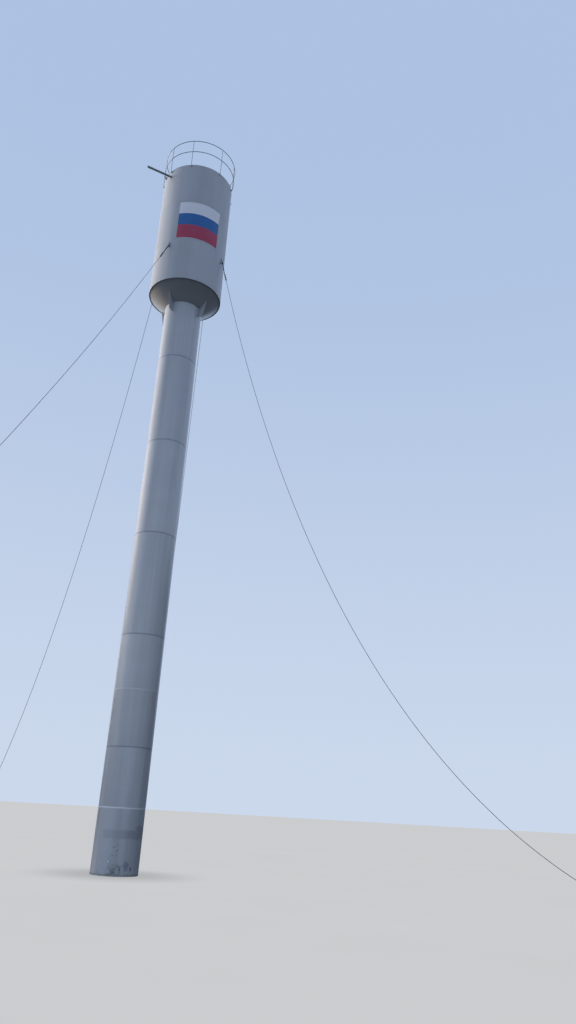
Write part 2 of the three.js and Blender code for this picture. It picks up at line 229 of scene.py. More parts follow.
def effect(name, amounts, outputs, wire):
    """A node group with a place and some amounts; wire(wiring, inputs) gives its outputs in order."""
    group = bpy.data.node_groups.new(name, "ShaderNodeTree")
    group.interface.new_socket(name="Place", in_out="INPUT", socket_type="NodeSocketVector")
    for label, value in amounts.items():
        socket = group.interface.new_socket(name=label, in_out="INPUT", socket_type="NodeSocketFloat")
        socket.default_value = value
    for label in outputs:
        group.interface.new_socket(name=label, in_out="OUTPUT", socket_type="NodeSocketFloat")
    wiring = Wiring(group)
    start = wiring.node("NodeGroupInput")
    end = wiring.node("NodeGroupOutput")
    for label, result in zip(outputs, wire(wiring, start.outputs)):
        wiring.feed(end.inputs[label], result)
    print("node group:", name, "with", len(group.nodes), "nodes")
    return group


print("every group has a place to read, so that it works in any material")

# %% [markdown]
# ### Mottled paint
#
# Sprayed enamel on plate is never one tone. There are broad soft bands from the spray gun's
# passes, and a fine grain where dust settled in the paint. Two noises at very different sizes
# give both, and the second is also the height of the paint's orange peel.

# %% Build the mottling group
SPRAY_PASS = (0.6, 0.6, 2.2)  # squeezed upright, because the gun moves level
BROAD_SHARE = 0.55


def wire_mottling(w, given):
    broad = w.noise(given["Place"], given["Broad Scale"], detail=2.0)
    bands = w.noise(w.vector("MULTIPLY", given["Place"], SPRAY_PASS), given["Band Scale"], detail=2.0)
    grain = w.noise(given["Place"], given["Fine Scale"], detail=4.0, roughness=0.65)
    tone = w.plus(w.times(broad, BROAD_SHARE), w.times(bands, 1 - BROAD_SHARE))
    return tone, grain


mottling_amounts = {"Broad Scale": 0.9, "Band Scale": 1.4, "Fine Scale": 90.0}
MOTTLING = effect("mottled_paint", mottling_amounts, ["Tone", "Grain"], wire_mottling)

# %% [markdown]
# ### Rain streaks
#
# Rain carries dust down a wall in thin lines. Stretching a noise a long way upright and
# squeezing it across gives them on any upright surface, with no need to unwrap it.

# %% Build the streak group
LINE_EDGE = (0.52, 0.74)  # shares of the noise between which a line rises
WET_AREAS = (0.35, 0.65)


def wire_streaks(w, given):
    thin = w.joined(given["Fineness"], given["Fineness"], given["Length"])
    lines = w.noise(w.vector("MULTIPLY", given["Place"], thin), 1.0, roughness=0.6)
    patches = w.noise(given["Place"], 0.8, detail=2.0)
    return (w.times(w.step(lines, *LINE_EDGE), w.step(patches, *WET_AREAS)),)


STREAKS = effect("rain_streaks", {"Fineness": 14.0, "Length": 0.35}, ["Streaks"], wire_streaks)

# %% [markdown]
# ### Rolled bands, painted as shade and light
#
# Rollers leave a plate very slightly flat in places, and each flat catches the light as a pale or a dark
# band that runs the whole height of its course. That light and shade is painted into the colour: a noise
# read only by direction round the axis, and shifted by a number that each course carries, gives the painted
# bands.

# %% Build the group of painted bands of shade and light
COURSE_SHIFT = 7.3  # how far apart in the noise two courses are read
BAND_LEAN = (0.0, 0.0, 0.12)  # a band changes a little with height
BAND_EDGE = (0.32, 0.68)


def wire_painted_flat_shading(w, given):
    level = w.vector("MULTIPLY", given["Place"], (1.0, 1.0, 0.0))
    wide = w.scaled(w.vector("NORMALIZE", level), given["Bands"])
    shifted = w.vector("ADD", wide, w.joined(z=w.times(given["Course"], COURSE_SHIFT)))
    leaning = w.vector("ADD", shifted, w.vector("MULTIPLY", given["Place"], BAND_LEAN))
    return (w.step(w.noise(leaning, 1.0, detail=2.0, roughness=0.5), *BAND_EDGE),)


PAINTED_FLAT_SHADING = effect("painted_flat_shading", {"Bands": 2.4, "Course": 0.0}, ["Band"], wire_painted_flat_shading)

# %% [markdown]
# ### Chipped paint
#
# A chip has a hard edge, and chips come in clusters where something has knocked the plate.
# A Voronoi texture gives separate blots, and a broad noise switches whole areas of them off.
# The halo is the same blot a little larger, for the rust that creeps out from a chip's edge.

# %% Build the chip group
CHIP_WARP = 0.02  # metres that a blot's outline strays
CHIP_EDGE = 0.03
HALO_REACH = 0.22
CLUSTER_FULL = 0.78


def wire_chips(w, given):
    inputs = {"Vector": given["Place"], "Scale": 40.0, "Detail": 2.0}
    stray = w.node("ShaderNodeTexNoise", inputs).outputs["Color"]
    warped = w.vector("ADD", given["Place"], w.vector("MULTIPLY", stray, (CHIP_WARP,) * 3))
    cells = w.node("ShaderNodeTexVoronoi", {"Vector": warped, "Scale": given["Chips per Metre"]})
    size = w.times(w.math("POWER", w.noise(given["Place"], 5.0, detail=2.0), 2.0), given["Chip Size"])
    depth = w.math("SUBTRACT", size, cells.outputs["Distance"])
    areas = w.noise(given["Place"], given["Clusters per Metre"], detail=1.0)
    clusters = w.step(areas, given["Cluster Share"], CLUSTER_FULL)
    chip = w.times(w.step(depth, 0.0, CHIP_EDGE), clusters)
    halo = w.times(w.step(depth, -HALO_REACH, 0.02), clusters)
    return chip, halo


chip_amounts = {"Chips per Metre": 9.0, "Chip Size": 1.0, "Clusters per Metre": 1.2, "Cluster Share": 0.6}
CHIPS = effect("chipped_paint", chip_amounts, ["Chip", "Halo"], wire_chips)

# %% [markdown]
# ### Splashed earth
#
# The lowest part of anything standing on soil is stained by splashes, thick at the bottom and
# ragged at the top. The mask falls with height, and a noise moves the height up and down. Single
# drops fly about twice as high as the film reaches.

# %% Build the splash group
DROP_RISE = 2.2
DROP_SHARE = 0.6
DROP_EDGE = (0.58, 0.66)


def wire_splash(w, given):
    ragged = w.waver(given["Place"], given["Raggedness"], 3.5, detail=5.0, roughness=0.7)
    level = w.plus(w.parts(given["Place"])[2], ragged)
    film = w.step(level, given["Reach"], 0.0)
    drops = w.step(w.noise(given["Place"], 38.0, roughness=0.6), *DROP_EDGE)
    drops = w.times(drops, w.step(level, w.times(given["Reach"], DROP_RISE), 0.05))
    return (w.larger(film, w.times(drops, DROP_SHARE)),)


SPLASH = effect("splashed_earth", {"Reach": 0.45, "Raggedness": 0.5}, ["Earth"], wire_splash)

# %% [markdown]
# ## Finishes
#
# A finish is one material: it places the groups, lays one colour over another where their masks
# say, and ends in a Principled shader. What is the same all over the surface, such as the coat of
# an enamel, is set on the shader's own socket. The class below is the wiring class again, with
# a shader, the place of each point in the tower's frame, and the colour laid on so far.

# %% Start a finish
PAINT = (0.420, 0.440, 0.450, 1)
STREAK_GREY = (0.210, 0.220, 0.225, 1)
WELD_DARK = (0.170, 0.185, 0.200, 1)
BARE_STEEL = (0.060, 0.058, 0.060, 1)
RUST = (0.210, 0.085, 0.035, 1)
EARTH = (0.155, 0.125, 0.080, 1)


class Finish(Wiring):
    """A material with a Principled shader, and the colour that has been laid on it so far."""

    def __init__(self, name, **constants):
        self.material = bpy.data.materials.new(name)
        self.material.use_nodes = True
        super().__init__(self.material.node_tree)
        self.tree.nodes.clear()
        self.shader = self.node("ShaderNodeBsdfPrincipled")
        out = self.node("ShaderNodeOutputMaterial")
        self.tree.links.new(self.shader.outputs[0], out.inputs[0])
        self.place = self.node("ShaderNodeTexCoord").outputs["Object"]
        self.colour = PAINT
        for label, value in constants.items():
            self.shader.inputs[label.replace("_", " ")].default_value = value

    def use(self, group, **values):
        made = self.node("ShaderNodeGroup", node_tree=group)
        self.feed(made.inputs["Place"], self.place)
        for label, value in values.items():
            self.feed(made.inputs[label.replace("_", " ")], value)
        return made.outputs

    def marked(self, attribute):
        """A value that the mesh itself carries, point by point."""
        return self.node("ShaderNodeAttribute", attribute_name=attribute).outputs["Fac"]

    def lay(self, paint, mask, share=1.0):
        """Lays a paint over the colour so far, where the mask says and as strongly as the share."""
        self.colour = self.blend(self.times(mask, share), self.colour, paint)

    def bump(self, height, distance):
        return self.node("ShaderNodeBump", {"Height": height, "Distance": distance}).outputs[0]

    def done(self, roughness, normal=None):
        self.feed(self.shader.inputs["Base Color"], self.colour)
        self.feed(self.shader.inputs["Roughness"], roughness)
        if normal is not None:
            self.feed(self.shader.inputs["Normal"], normal)
        print("finish:", self.material.name, "with", len(self.tree.nodes), "nodes")
        return self.material


print("a finish starts from the enamel's grey", PAINT[:3])

# %% [markdown]
# ### The enamel itself
#
# Every painted piece starts with the same coat: two close tones of grey, a few streaks, a fine grain and,
# on rolled plate, the bands of painted shade and light. It is one function, so that the column and the tank
# stay the same paint, and each calls it with the strength of dirt that it has.

# %% Mix the coat
COAT_TONES = (0.96, 1.03)  # the darkest and the lightest, as shares of the paint
GRAIN_SHARE = 0.10
STREAK_ROUGHNESS = 0.25


def shade(paint, factor):
    return tuple(min(1.0, c * factor) for c in paint[:3]) + (1,)


def painted(f, paint, streaks=0.12, fineness=14.0, fine_scale=90.0, bands=0.0, gloss=(0.34, 0.46)):
    """Lays the coat, and gives its roughness and its height."""
    mottling = f.use(MOTTLING, Fine_Scale=fine_scale)
    lines = f.use(STREAKS, Fineness=fineness)["Streaks"]
    tone = f.step(mottling["Tone"], 0.25, 0.75)
    f.colour = f.blend(tone, *[shade(paint, factor) for factor in COAT_TONES])
    # painted shade and light of the plate's flats, by bearing round the axis
    if bands:
        flat_shade = f.use(PAINTED_FLAT_SHADING, Course=f.marked("course"))["Band"]
        dark, light = [(level, level, level, 1) for level in (1 - bands / 2, 1 + bands / 2)]
        f.colour = f.blend(1.0, f.colour, f.blend(flat_shade, dark, light), "MULTIPLY")
    f.lay(STREAK_GREY, lines, streaks)
    f.lay(STREAK_GREY, f.step(mottling["Grain"], 0.62, 0.75), GRAIN_SHARE)
    roughness = f.plus(f.between(tone, *gloss), f.times(lines, STREAK_ROUGHNESS * streaks), clamp=True)
    return roughness, mottling["Grain"]


print("coat tones:", [[round(c, 3) for c in shade(PAINT, factor)[:3]] for factor in COAT_TONES])

# %% [markdown]
# ### Marks at chosen places
#
# The column's foot has marks that belong to one spot: knocks down to the steel, a rubbed smudge,
# a patch of moss. An image would be the usual way to place them. A distance from a point does it
# without one: each mark is a ragged ball of space about a bearing and a height, and it shows
# where the wall passes through the ball.

# %% Mark a spot on a wall


def near(f, centre, reach, ragged=0.0, tall=1.0, soft=0.35, grain=9.0):
    """A round area about a point; tall stretches it upright, and soft is its solid share."""
    offset = f.vector("SUBTRACT", f.place, tuple(centre))
    distance = f.vector("LENGTH", f.vector("MULTIPLY", offset, (1.0, 1.0, 1.0 / tall)))
    if ragged:
        distance = f.plus(distance, f.waver(f.place, ragged, grain, detail=4.0, roughness=0.65))
    return f.step(distance, reach, reach * soft)


def on_column(f, bearing, height, reach, **shape):
    return near(f, polar(COLUMN_RADIUS, bearing, height), reach, **shape)


print("a mark at bearing 0 and 1 m up has its middle at", [round(x, 2) for x in polar(COLUMN_RADIUS, 0, 1)])

# %% [markdown]
# The knocks show in the photograph as small dark dots, so each is written down as the picture point where
# it was seen. The camera above is the photograph's own, so the line of sight through a point meets the
# column at the knock's bearing and height. A listed point is good to about half a pixel, which is 15 mm
# here.

# %% Find the knocks on the column
PICTURE_WIDTH = 576  # pixels

# pixels right and down in the picture, and half the width in metres
KNOCKS = [
    (117.5, 845.0, 0.018), (113.5, 847.0, 0.020), (115.5, 847.0, 0.012), (116.5, 851.0, 0.020),
    (118.0, 850.0, 0.015), (112.0, 855.5, 0.020), (116.5, 855.5, 0.018), (108.5, 858.0, 0.012),
    (110.0, 861.5, 0.015), (107.5, 863.5, 0.012), (96.5, 871.0, 0.015),
]


def seen_on_column(right, down):
    """The bearing and height at which the line of sight through a picture point meets the column."""
    across = (right - PICTURE_WIDTH / 2) / FOCAL_PIXELS
    up = (PICTURE_HEIGHT / 2 - down) / FOCAL_PIXELS
    sight = basis @ Vector((across, up, -1))
    squared = sight.xy.length_squared
    inward = eye.xy.dot(sight.xy)
    outside = eye.xy.length_squared - COLUMN_RADIUS**2
    spot = eye - sight * (inward + math.sqrt(inward**2 - squared * outside)) / squared
    return math.degrees(math.atan2(spot.x, -spot.y)), spot.z


def knocked(f):
    """Small hard-edged blots, one for each knock."""
    total = 0.0
    for right, down, half in KNOCKS:
        bearing, height = seen_on_column(right, down)
        blot = on_column(f, bearing, height, half, ragged=half, tall=1.4, soft=0.7, grain=60.0)
        total = f.larger(total, blot)
    return total


for right, down, half in KNOCKS:
    bearing, height = seen_on_column(right, down)
    print("knock at bearing", round(bearing), "and", round(height, 2), "m up")

# %% [markdown]
# ### Paint on the column
#
# The column has the tank's pale grey enamel with a clear coat on it, which gives its left side a long soft
# sheen. Some welds show as dark lines and some, painted over late, as light ones; their near-white colour
# is also a painted highlight of the bead. The weld lines come from values that the column's mesh carries,
# so they lie exactly on its beads. About a metre up is a darker, square-edged patch where it was rubbed
# down and painted again.

# %% Paint the column's welds and the darker patch
WELD_TOUCH_UP_AND_HIGHLIGHT = (0.760, 0.775, 0.780, 1)
PATCH_LOW = (0.84, 0.89)  # heights between which its edge fades
PATCH_HIGH = (1.09, 1.05)
PATCH_HIGH_RIGHT = (1.19, 1.14)
PATCH_LEFT = (-0.52, -0.40)  # across the column, from its axis
PATCH_STEP = (0.28, 0.38)  # its top edge steps up here


def column_patch(f, right, back, level):
    """The patch, and how strong it is: it darkens to the right."""
    low = f.step(level, *PATCH_LOW)
    patch = f.times(low, f.step(level, *PATCH_HIGH))
    taller = f.times(low, f.step(level, *PATCH_HIGH_RIGHT))
    patch = f.larger(patch, f.times(taller, f.step(right, *PATCH_STEP)))
    patch = f.times(patch, f.step(right, *PATCH_LEFT))
    patch = f.times(patch, f.step(back, 0.2, -0.1))
    return f.times(patch, f.between(f.step(right, -0.15, 0.20), 0.26, 0.46))


def column_coat(f):
    """The coat with its welds and its patch; gives roughness, height and the depth and level."""
    roughness, height = painted(f, PAINT, bands=0.16, gloss=(0.50, 0.62))
    f.lay(WELD_DARK, f.marked("weld"), 0.75)
    # light welds: touch-up paint and a painted highlight of the bead, in one near-white colour
    f.lay(WELD_TOUCH_UP_AND_HIGHLIGHT, f.marked("touch_up_and_highlight"), 0.95)
    right, back, up = f.parts(f.place)
    level = f.plus(up, f.waver(f.place, 0.10, 5.0, detail=4.0, roughness=0.6))
    f.lay(STREAK_GREY, column_patch(f, right, back, level))
    return roughness, height, back, level


print("darker patch from", PATCH_LOW[0], "to", PATCH_HIGH_RIGHT[0], "m up the column")

# %% [markdown]
# The lowest course carries the wear: knocks through to the steel, a light fleck of filler, rubbed
# smudges, moss that keeps to the damp, and a thin line of splashed earth. Marks that show from
# the front are set one by one, and the back is filled from the chip group, where only their
# number and kind matter. Each is laid over the last, in the order in which they came about.

# %% Wear the column's foot
FLECK = (0.75, 0.76, 0.74, 1)
SMUDGE = (0.130, 0.145, 0.180, 1)
SMEAR = (0.035, 0.040, 0.070, 1)
SCUFF = (0.085, 0.090, 0.110, 1)
MOSS = (0.095, 0.130, 0.090, 1)
DAMP = (0.050, 0.060, 0.065, 1)
WORN_ROUGHNESS = 0.85
BACK_CHIPS = {"Chips_per_Metre": 21.0, "Chip_Size": 0.95, "Clusters_per_Metre": 2.0, "Cluster_Share": 0.1}
BACK_SCUFFS = {"Chips_per_Metre": 9.0, "Chip_Size": 0.9, "Clusters_per_Metre": 1.5, "Cluster_Share": 0.2}


def chip_column(f):
    """Knocks set by hand at the front and scattered ones behind."""
    behind = f.times(f.use(CHIPS, **BACK_CHIPS)["Chip"], on_column(f, 150, 0.7, 0.3))
    chip = f.larger(knocked(f), behind)
    f.lay(BARE_STEEL, chip, 0.38)
    f.lay(FLECK, on_column(f, -25.7, 0.331, 0.026), 0.9)
    return chip


def smudge_column(f, back, level):
    """Rubbed places: a large one in front, one behind, one dark smear and scuffs round the back."""
    front = on_column(f, 17.5, 0.235, 0.115, ragged=0.12, tall=1.35)
    behind = on_column(f, -115, 0.3, 0.3, ragged=0.3)
    f.lay(SMUDGE, f.larger(front, behind), 0.55)
    f.lay(SMEAR, on_column(f, 30.9, 0.175, 0.030, ragged=0.014, tall=2.6), 0.9)
    low_at_back = f.times(f.step(level, 0.42, 0.12), f.step(back, 0.0, 0.2))
    f.lay(SCUFF, f.times(f.use(CHIPS, **BACK_SCUFFS)["Chip"], low_at_back), 0.75)


def weather_column(f):
    """Moss, two dark damp blots and splashed earth."""
    mossy = on_column(f, -9.0, 0.13, 0.30, ragged=0.20, tall=0.75)
    tufts = f.step(f.noise(f.place, 15.0, detail=4.0, roughness=0.6), 0.40, 0.62)
    mossy = f.times(mossy, tufts)
    f.lay(MOSS, mossy, 0.60)
    blot = on_column(f, -13.5, 0.105, 0.060, ragged=0.05)
    blot = f.larger(blot, on_column(f, 2.5, 0.175, 0.030, ragged=0.03, tall=1.8))
    f.lay(DAMP, blot, 0.42)
    earth = f.use(SPLASH, Reach=0.08, Raggedness=0.20)["Earth"]
    soil = f.blend(f.step(f.noise(f.place, 6.0), 0.42, 0.6), MOSS, EARTH)
    f.lay(soil, earth, 0.40)
    return mossy, earth


def column_finish():
    f = Finish("column_paint", Specular_IOR_Level=0.30, Coat_Weight=0.55, Coat_Roughness=0.22)
    roughness, height, back, level = column_coat(f)
    chip = chip_column(f)
    smudge_column(f, back, level)
    mossy, earth = weather_column(f)
    worn = f.larger(earth, f.larger(chip, mossy))
    height = f.math("SUBTRACT", f.times(height, 0.25), chip)
    return f.done(f.between(worn, roughness, WORN_ROUGHNESS), f.bump(height, 0.6 * MM))


COLUMN_PAINT = column_finish()

# %% [markdown]
# ### Paint on the tank, with its striped panel
#
# The panel of three level stripes is paint too, sprayed through a straight mask on the curved
# wall. A separate thin sheet would show an edge that the real one lacks. The material instead
# works out each point's bearing and height, and a wavering of a few millimetres keeps the
# edges from looking printed.

# %% Paint the panel by bearing and height
PANEL_LEFT = -35.2  # bearings
PANEL_RIGHT = 35.0
PANEL_LOW = 19.27
PANEL_RED_TOP = 19.815
PANEL_BLUE_TOP = 20.285
PANEL_HIGH = 20.755
PANEL_WHITE = (0.760, 0.770, 0.775, 1)
PANEL_BLUE = (0.004, 0.125, 0.365, 1)
PANEL_RED = (0.425, 0.034, 0.088, 1)
PANEL_WAVER = 12 * MM
PANEL_WEAR = 0.04
SPRAY_EDGE = 6 * MM


def above(f, value, line):
    """One above a line and nothing below it, with an edge as soft as a spray gun leaves."""
    return f.step(value, line - SPRAY_EDGE, line + SPRAY_EDGE)


def below(f, value, line):
    return f.step(value, line + SPRAY_EDGE, line - SPRAY_EDGE)


def panel_masks(f):
    """The whole panel, and the share of blue and of red in it."""
    right, back, up = f.parts(f.place)
    waver = f.waver(f.place, PANEL_WAVER, 7.0)
    height = f.plus(up, waver)
    bearing = f.math("ARCTAN2", right, f.times(back, -1.0))
    across = f.plus(f.times(bearing, TANK_RADIUS), waver)
    inside = above(f, across, math.radians(PANEL_LEFT) * TANK_RADIUS)
    inside = f.times(inside, below(f, across, math.radians(PANEL_RIGHT) * TANK_RADIUS))
    inside = f.times(inside, above(f, height, PANEL_LOW))
    inside = f.times(inside, below(f, height, PANEL_HIGH))
    return inside, below(f, height, PANEL_BLUE_TOP), below(f, height, PANEL_RED_TOP)


def tank_finish():
    f = Finish("tank_paint", Specular_IOR_Level=0.30)
    roughness, height = painted(f, PAINT, streaks=0.16, fineness=11.0, bands=0.10, gloss=(0.40, 0.52))
    f.lay(WELD_DARK, f.marked("weld"), 0.18)
    inside, blue, red = panel_masks(f)
    stripes = f.blend(red, f.blend(blue, PANEL_WHITE, PANEL_BLUE), PANEL_RED)
    worn = f.step(f.use(MOTTLING, Broad_Scale=2.5, Band_Scale=5.0)["Tone"], 0.35, 0.7)
    f.lay(f.blend(f.times(worn, PANEL_WEAR), stripes, PAINT), inside)
    return f.done(roughness, f.bump(f.times(height, 0.25), 0.6 * MM))


TANK_PAINT = tank_finish()

# %% [markdown]
# ### The underside, and the small fittings
#
# The bottom cone has the tank's paint, dusty because rain never washes it, and made paler and warmer than
# the tank's, which paints in part of the low sun's warm light. It looks nearly black from below only
# because so little light comes up to it, so its paint isn't made darker.
# The gussets, lugs and rails were brushed by hand, so their paint is rougher, with dirt in it and
# rust starting at some edges. One function with a paint and a strength of rust makes them all.

# %% Mix the dusty and the brushed paints
# paler and warmer than the tank's grey: the cone's paint with painted warm sunlight in it
UNDERSIDE_GREY_WITH_PAINTED_SUN = (0.485, 0.475, 0.445, 1)
DUST = (0.300, 0.290, 0.260, 1)
FITTING_GREY = (0.400, 0.420, 0.430, 1)
RAIL_GREY = (0.350, 0.395, 0.450, 1)
PIPE_GREY = (0.300, 0.320, 0.330, 1)
BRUSHED_EXTRA = 0.08  # added to the roughness


def underside_finish():
    f = Finish("underside_paint", Coat_Weight=0.35, Coat_Roughness=0.25, Specular_IOR_Level=0.5)
    painted(f, UNDERSIDE_GREY_WITH_PAINTED_SUN, streaks=0.0)
    dusty = f.use(MOTTLING, Broad_Scale=2.6, Fine_Scale=60.0)
    f.lay(DUST, f.step(dusty["Tone"], 0.40, 0.68), 0.20)
    f.lay(BARE_STEEL, f.step(dusty["Grain"], 0.60, 0.75), 0.22)
    f.lay(BARE_STEEL, f.marked("weld"), 0.6)
    return f.done(f.between(dusty["Grain"], 0.30, 0.45), f.bump(dusty["Grain"], 0.3 * MM))


def brushed_finish(name, paint, rust):
    f = Finish(name, Specular_IOR_Level=0.45)
    roughness, height = painted(f, paint, streaks=0.3, fineness=30.0, fine_scale=160.0)
    chips = f.use(CHIPS, Chips_per_Metre=60.0, Clusters_per_Metre=6.0, Chip_Size=0.9, Cluster_Share=0.5)
    f.lay(RUST, chips["Halo"], rust)
    f.lay(BARE_STEEL, chips["Chip"], rust * 0.8)
    return f.done(f.plus(roughness, BRUSHED_EXTRA, clamp=True), f.bump(height, 0.4 * MM))


UNDERSIDE_PAINT = underside_finish()
FITTING_PAINT = brushed_finish("fitting_paint", FITTING_GREY, 0.35)
RAIL_PAINT = brushed_finish("rail_paint", RAIL_GREY, 0.10)
PIPE_PAINT = brushed_finish("pipe_paint", PIPE_GREY, 0.4)

# %% [markdown]
# ### Zinc, rope and rusty steel
#
# Galvanized steel has a frosted pattern of crystals, each a slightly different grey, which a
# Voronoi texture's random cell colour gives. The turnbuckles' zinc has dulled almost to black.
# The rope is dark, greasy wire, and the anchor stakes are old pipe that rusts where it meets the
# soil. All three could be plain metals, but a share of metal under one keeps their dirt visible.

# %% Mix the metals
ZINC_TONES = ((0.028, 0.031, 0.036, 1), (0.050, 0.053, 0.060, 1))
ZINC_DIRT = (0.020, 0.019, 0.020, 1)
WIRE_TONES = ((0.060, 0.062, 0.066, 1), (0.150, 0.152, 0.155, 1))
WIRES = (900.0, 900.0, 300.0)  # waves per metre across and along
STAKE_BROWN = (0.115, 0.062, 0.036, 1)
STAKE_PITS = (0.050, 0.034, 0.028, 1)


def zinc_finish():
    f = Finish("zinc", Metallic=0.2)
    cells = f.node("ShaderNodeTexVoronoi", {"Vector": f.place, "Scale": 220.0}).outputs["Color"]
    crystal = f.node("ShaderNodeSeparateColor", {0: cells}).outputs[0]
    dirt = f.noise(f.place, 30.0, detail=4.0, roughness=0.65)
    f.colour = f.blend(crystal, *ZINC_TONES)
    f.lay(ZINC_DIRT, f.step(dirt, 0.42, 0.66))
    return f.done(f.between(dirt, 0.45, 0.75), f.bump(dirt, 0.3 * MM))


def rope_finish():
    f = Finish("wire_rope", Metallic=0.6)
    grease = f.noise(f.place, 24.0, detail=4.0, roughness=0.6)
    f.colour = f.blend(f.step(grease, 0.35, 0.65), *WIRE_TONES)
    f.lay(RUST, f.step(f.noise(f.place, 3.0), 0.55, 0.7), 0.4)
    wires = f.noise(f.vector("MULTIPLY", f.place, WIRES), 1.0, detail=1.0)
    return f.done(f.between(grease, 0.35, 0.65), f.bump(wires, 0.3 * MM))


def stake_finish():
    f = Finish("rusty_stake", Metallic=0.3)
    patches = f.noise(f.place, 14.0, detail=6.0, roughness=0.65)
    pits = f.noise(f.place, 120.0, detail=4.0, roughness=0.7)
    f.colour = f.blend(f.step(patches, 0.40, 0.60), STAKE_BROWN, RUST)
    f.lay(STAKE_PITS, f.step(pits, 0.58, 0.74))
    f.lay(EARTH, f.use(SPLASH, Reach=0.12, Raggedness=0.10)["Earth"], 0.8)
    return f.done(f.between(pits, 0.65, 0.95), f.bump(pits, 0.8 * MM))


ZINC = zinc_finish()
ROPE_STEEL = rope_finish()
STAKE_RUST = stake_finish()

# %% [markdown]
# ## From numbers to meshes
#
# Each piece is gathered from closed bodies, as lists of points and faces, and made one mesh at the
# end. A body can be moved before it is added, so a bolt is described once and used many times.
# Most bodies here are skins over rings of points, like a cage bent round a bar, so one function
# joins the rings with four-sided faces.

# %% Gather bodies and make a piece of them
SMOOTH_BELOW = math.radians(32)


def skin(rings, closed=False, capped=False):
    """A body over rings of points; closed joins the last ring to the first, capped fills both ends."""
    rings = np.asarray(rings, float)
    count, around = rings.shape[:2]
    index = np.arange(count * around).reshape(count, around)
    here = index if closed else index[:-1]
    there = np.roll(index, -1, axis=0)[: len(here)]
    quads = np.stack([here, np.roll(here, -1, axis=1), np.roll(there, -1, axis=1), there], axis=-1)
    faces = quads.reshape(-1, 4).tolist()
    if capped:
        faces += [index[0][::-1].tolist(), index[-1].tolist()]
    return rings.reshape(-1, 3), faces


class Gathered:
    """Closed bodies that become one piece."""

    def __init__(self):
        self.points = []
        self.faces = []
        self.marks = []
        self.count = 0

    def add(self, bodies, matrix=None, weld=0.0):
        """Adds one body or a list of them; weld marks its points for the finish."""
        for points, faces in bodies if isinstance(bodies, list) else [bodies]:
            points = np.asarray(points, float).reshape(-1, 3)
            if matrix is not None:
                m = np.array(matrix)
                points = points @ m[:3, :3].T + m[:3, 3]
            self.points.append(points)
            self.faces.extend([tuple(i + self.count for i in face) for face in faces])
            self.marks.append(np.broadcast_to(np.asarray(weld, float), (len(points),)))
            self.count += len(points)
        return self

    def piece(self, name, material, slot, nodes, marks=None):
        mesh = bpy.data.meshes.new(name)
        mesh.from_pydata(np.concatenate(self.points).tolist(), [], self.faces)
        mesh.validate()
        mesh.shade_smooth()
        mesh.set_sharp_from_angle(angle=SMOOTH_BELOW)
        for label, values in {"weld": np.concatenate(self.marks), **(marks or {})}.items():
            attribute = mesh.attributes.new(label, "FLOAT", "POINT")
            attribute.data.foreach_set("value", np.asarray(values, np.float32))
        mesh.materials.append(material)
        made = bpy.data.objects.new(name, mesh)
        bpy.context.scene.collection.objects.link(made)
        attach(made, "root")
        if nodes:
            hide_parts(*nodes)
        print(name, "-", len(mesh.polygons), "faces")
        return made


print("edges under", round(math.degrees(SMOOTH_BELOW)), "degrees are shaded smooth")

# %% [markdown]
# ## Rolled plate
#
# A course is a sheet rolled into a ring and closed by one upright weld, then welded to the next
# along its edge. Heat pulls the plate in a little beside each weld and leaves a proud bead. A
# bump texture would vanish in the outline, so the bead and the pull are in the mesh: rings of
# points crowd together where a weld is and spread out where the plate is plain.

# %% Shape a weld and the plate beside it
BEAD_HALF = 11 * MM
BEAD_HEIGHT = 3.5 * MM
PULL_REACH = 130 * MM
ROWS_AT_WELD = np.array([0, 4, 8, 11, 16, 40, 80, 130]) * MM
PLAIN_ROW = 0.25
CLEAR_OF_SEAM = 0.012  # radians kept free of plain rows beside a seam
WAVES = [(3, 0.9), (5, 2.1), (2, 3.3), (7, 1.4)]  # turns round the ring, and rise per metre


def bead(distance):
    """The share of a weld's full height at a distance from its middle line."""
    return np.clip(1 - (np.abs(distance) / BEAD_HALF) ** 2, 0, 1)


def pull(distance):
    return 1 - np.clip(np.abs(distance) / PULL_REACH, 0, 1) ** 0.8


def weld_rows(low, high):
    """Heights of a course's rings of points, close together at both edges."""
    plain_rows = max(3, int((high - low) / PLAIN_ROW))
    inner = np.linspace(low + ROWS_AT_WELD[-1], high - ROWS_AT_WELD[-1], plain_rows)
    return np.unique(np.round(np.concatenate([low + ROWS_AT_WELD, inner, high - ROWS_AT_WELD]), 5))


def weld_bearings(seams, radius, plain=144):
    """Angles about the axis, with more of them beside each upright seam."""
    even = np.linspace(0, TURN, plain, endpoint=False)
    beside = np.concatenate([-ROWS_AT_WELD[:0:-1], ROWS_AT_WELD]) / radius
    extra = np.concatenate([(math.radians(seam) + beside) % TURN for seam in seams])
    gaps = np.abs((even[:, None] - extra + math.pi) % TURN - math.pi).min(axis=1)
    return np.unique(np.round(np.concatenate([even[gaps > CLEAR_OF_SEAM], extra]), 6))


def ripple(angle, height, seed):
    """A few slow waves, as plate that was rolled by hand has."""
    total = 0
    for i, (turns, rise) in enumerate(WAVES):
        total = total + np.sin(turns * angle + rise * height + 1.7 * seed + 2.3 * i) / (i + 2)
    return total


print("rows on a course 1.5 m high:", len(weld_rows(0.0, 1.5)))

# %% [markdown]
# The course's outer face is a grid of rows and angles. At each point the distance to the nearest
# weld gives the bead, the pull and the marks for the finish, all by one formula for the whole
# grid. Two plain rings inside close it into a solid sheet.

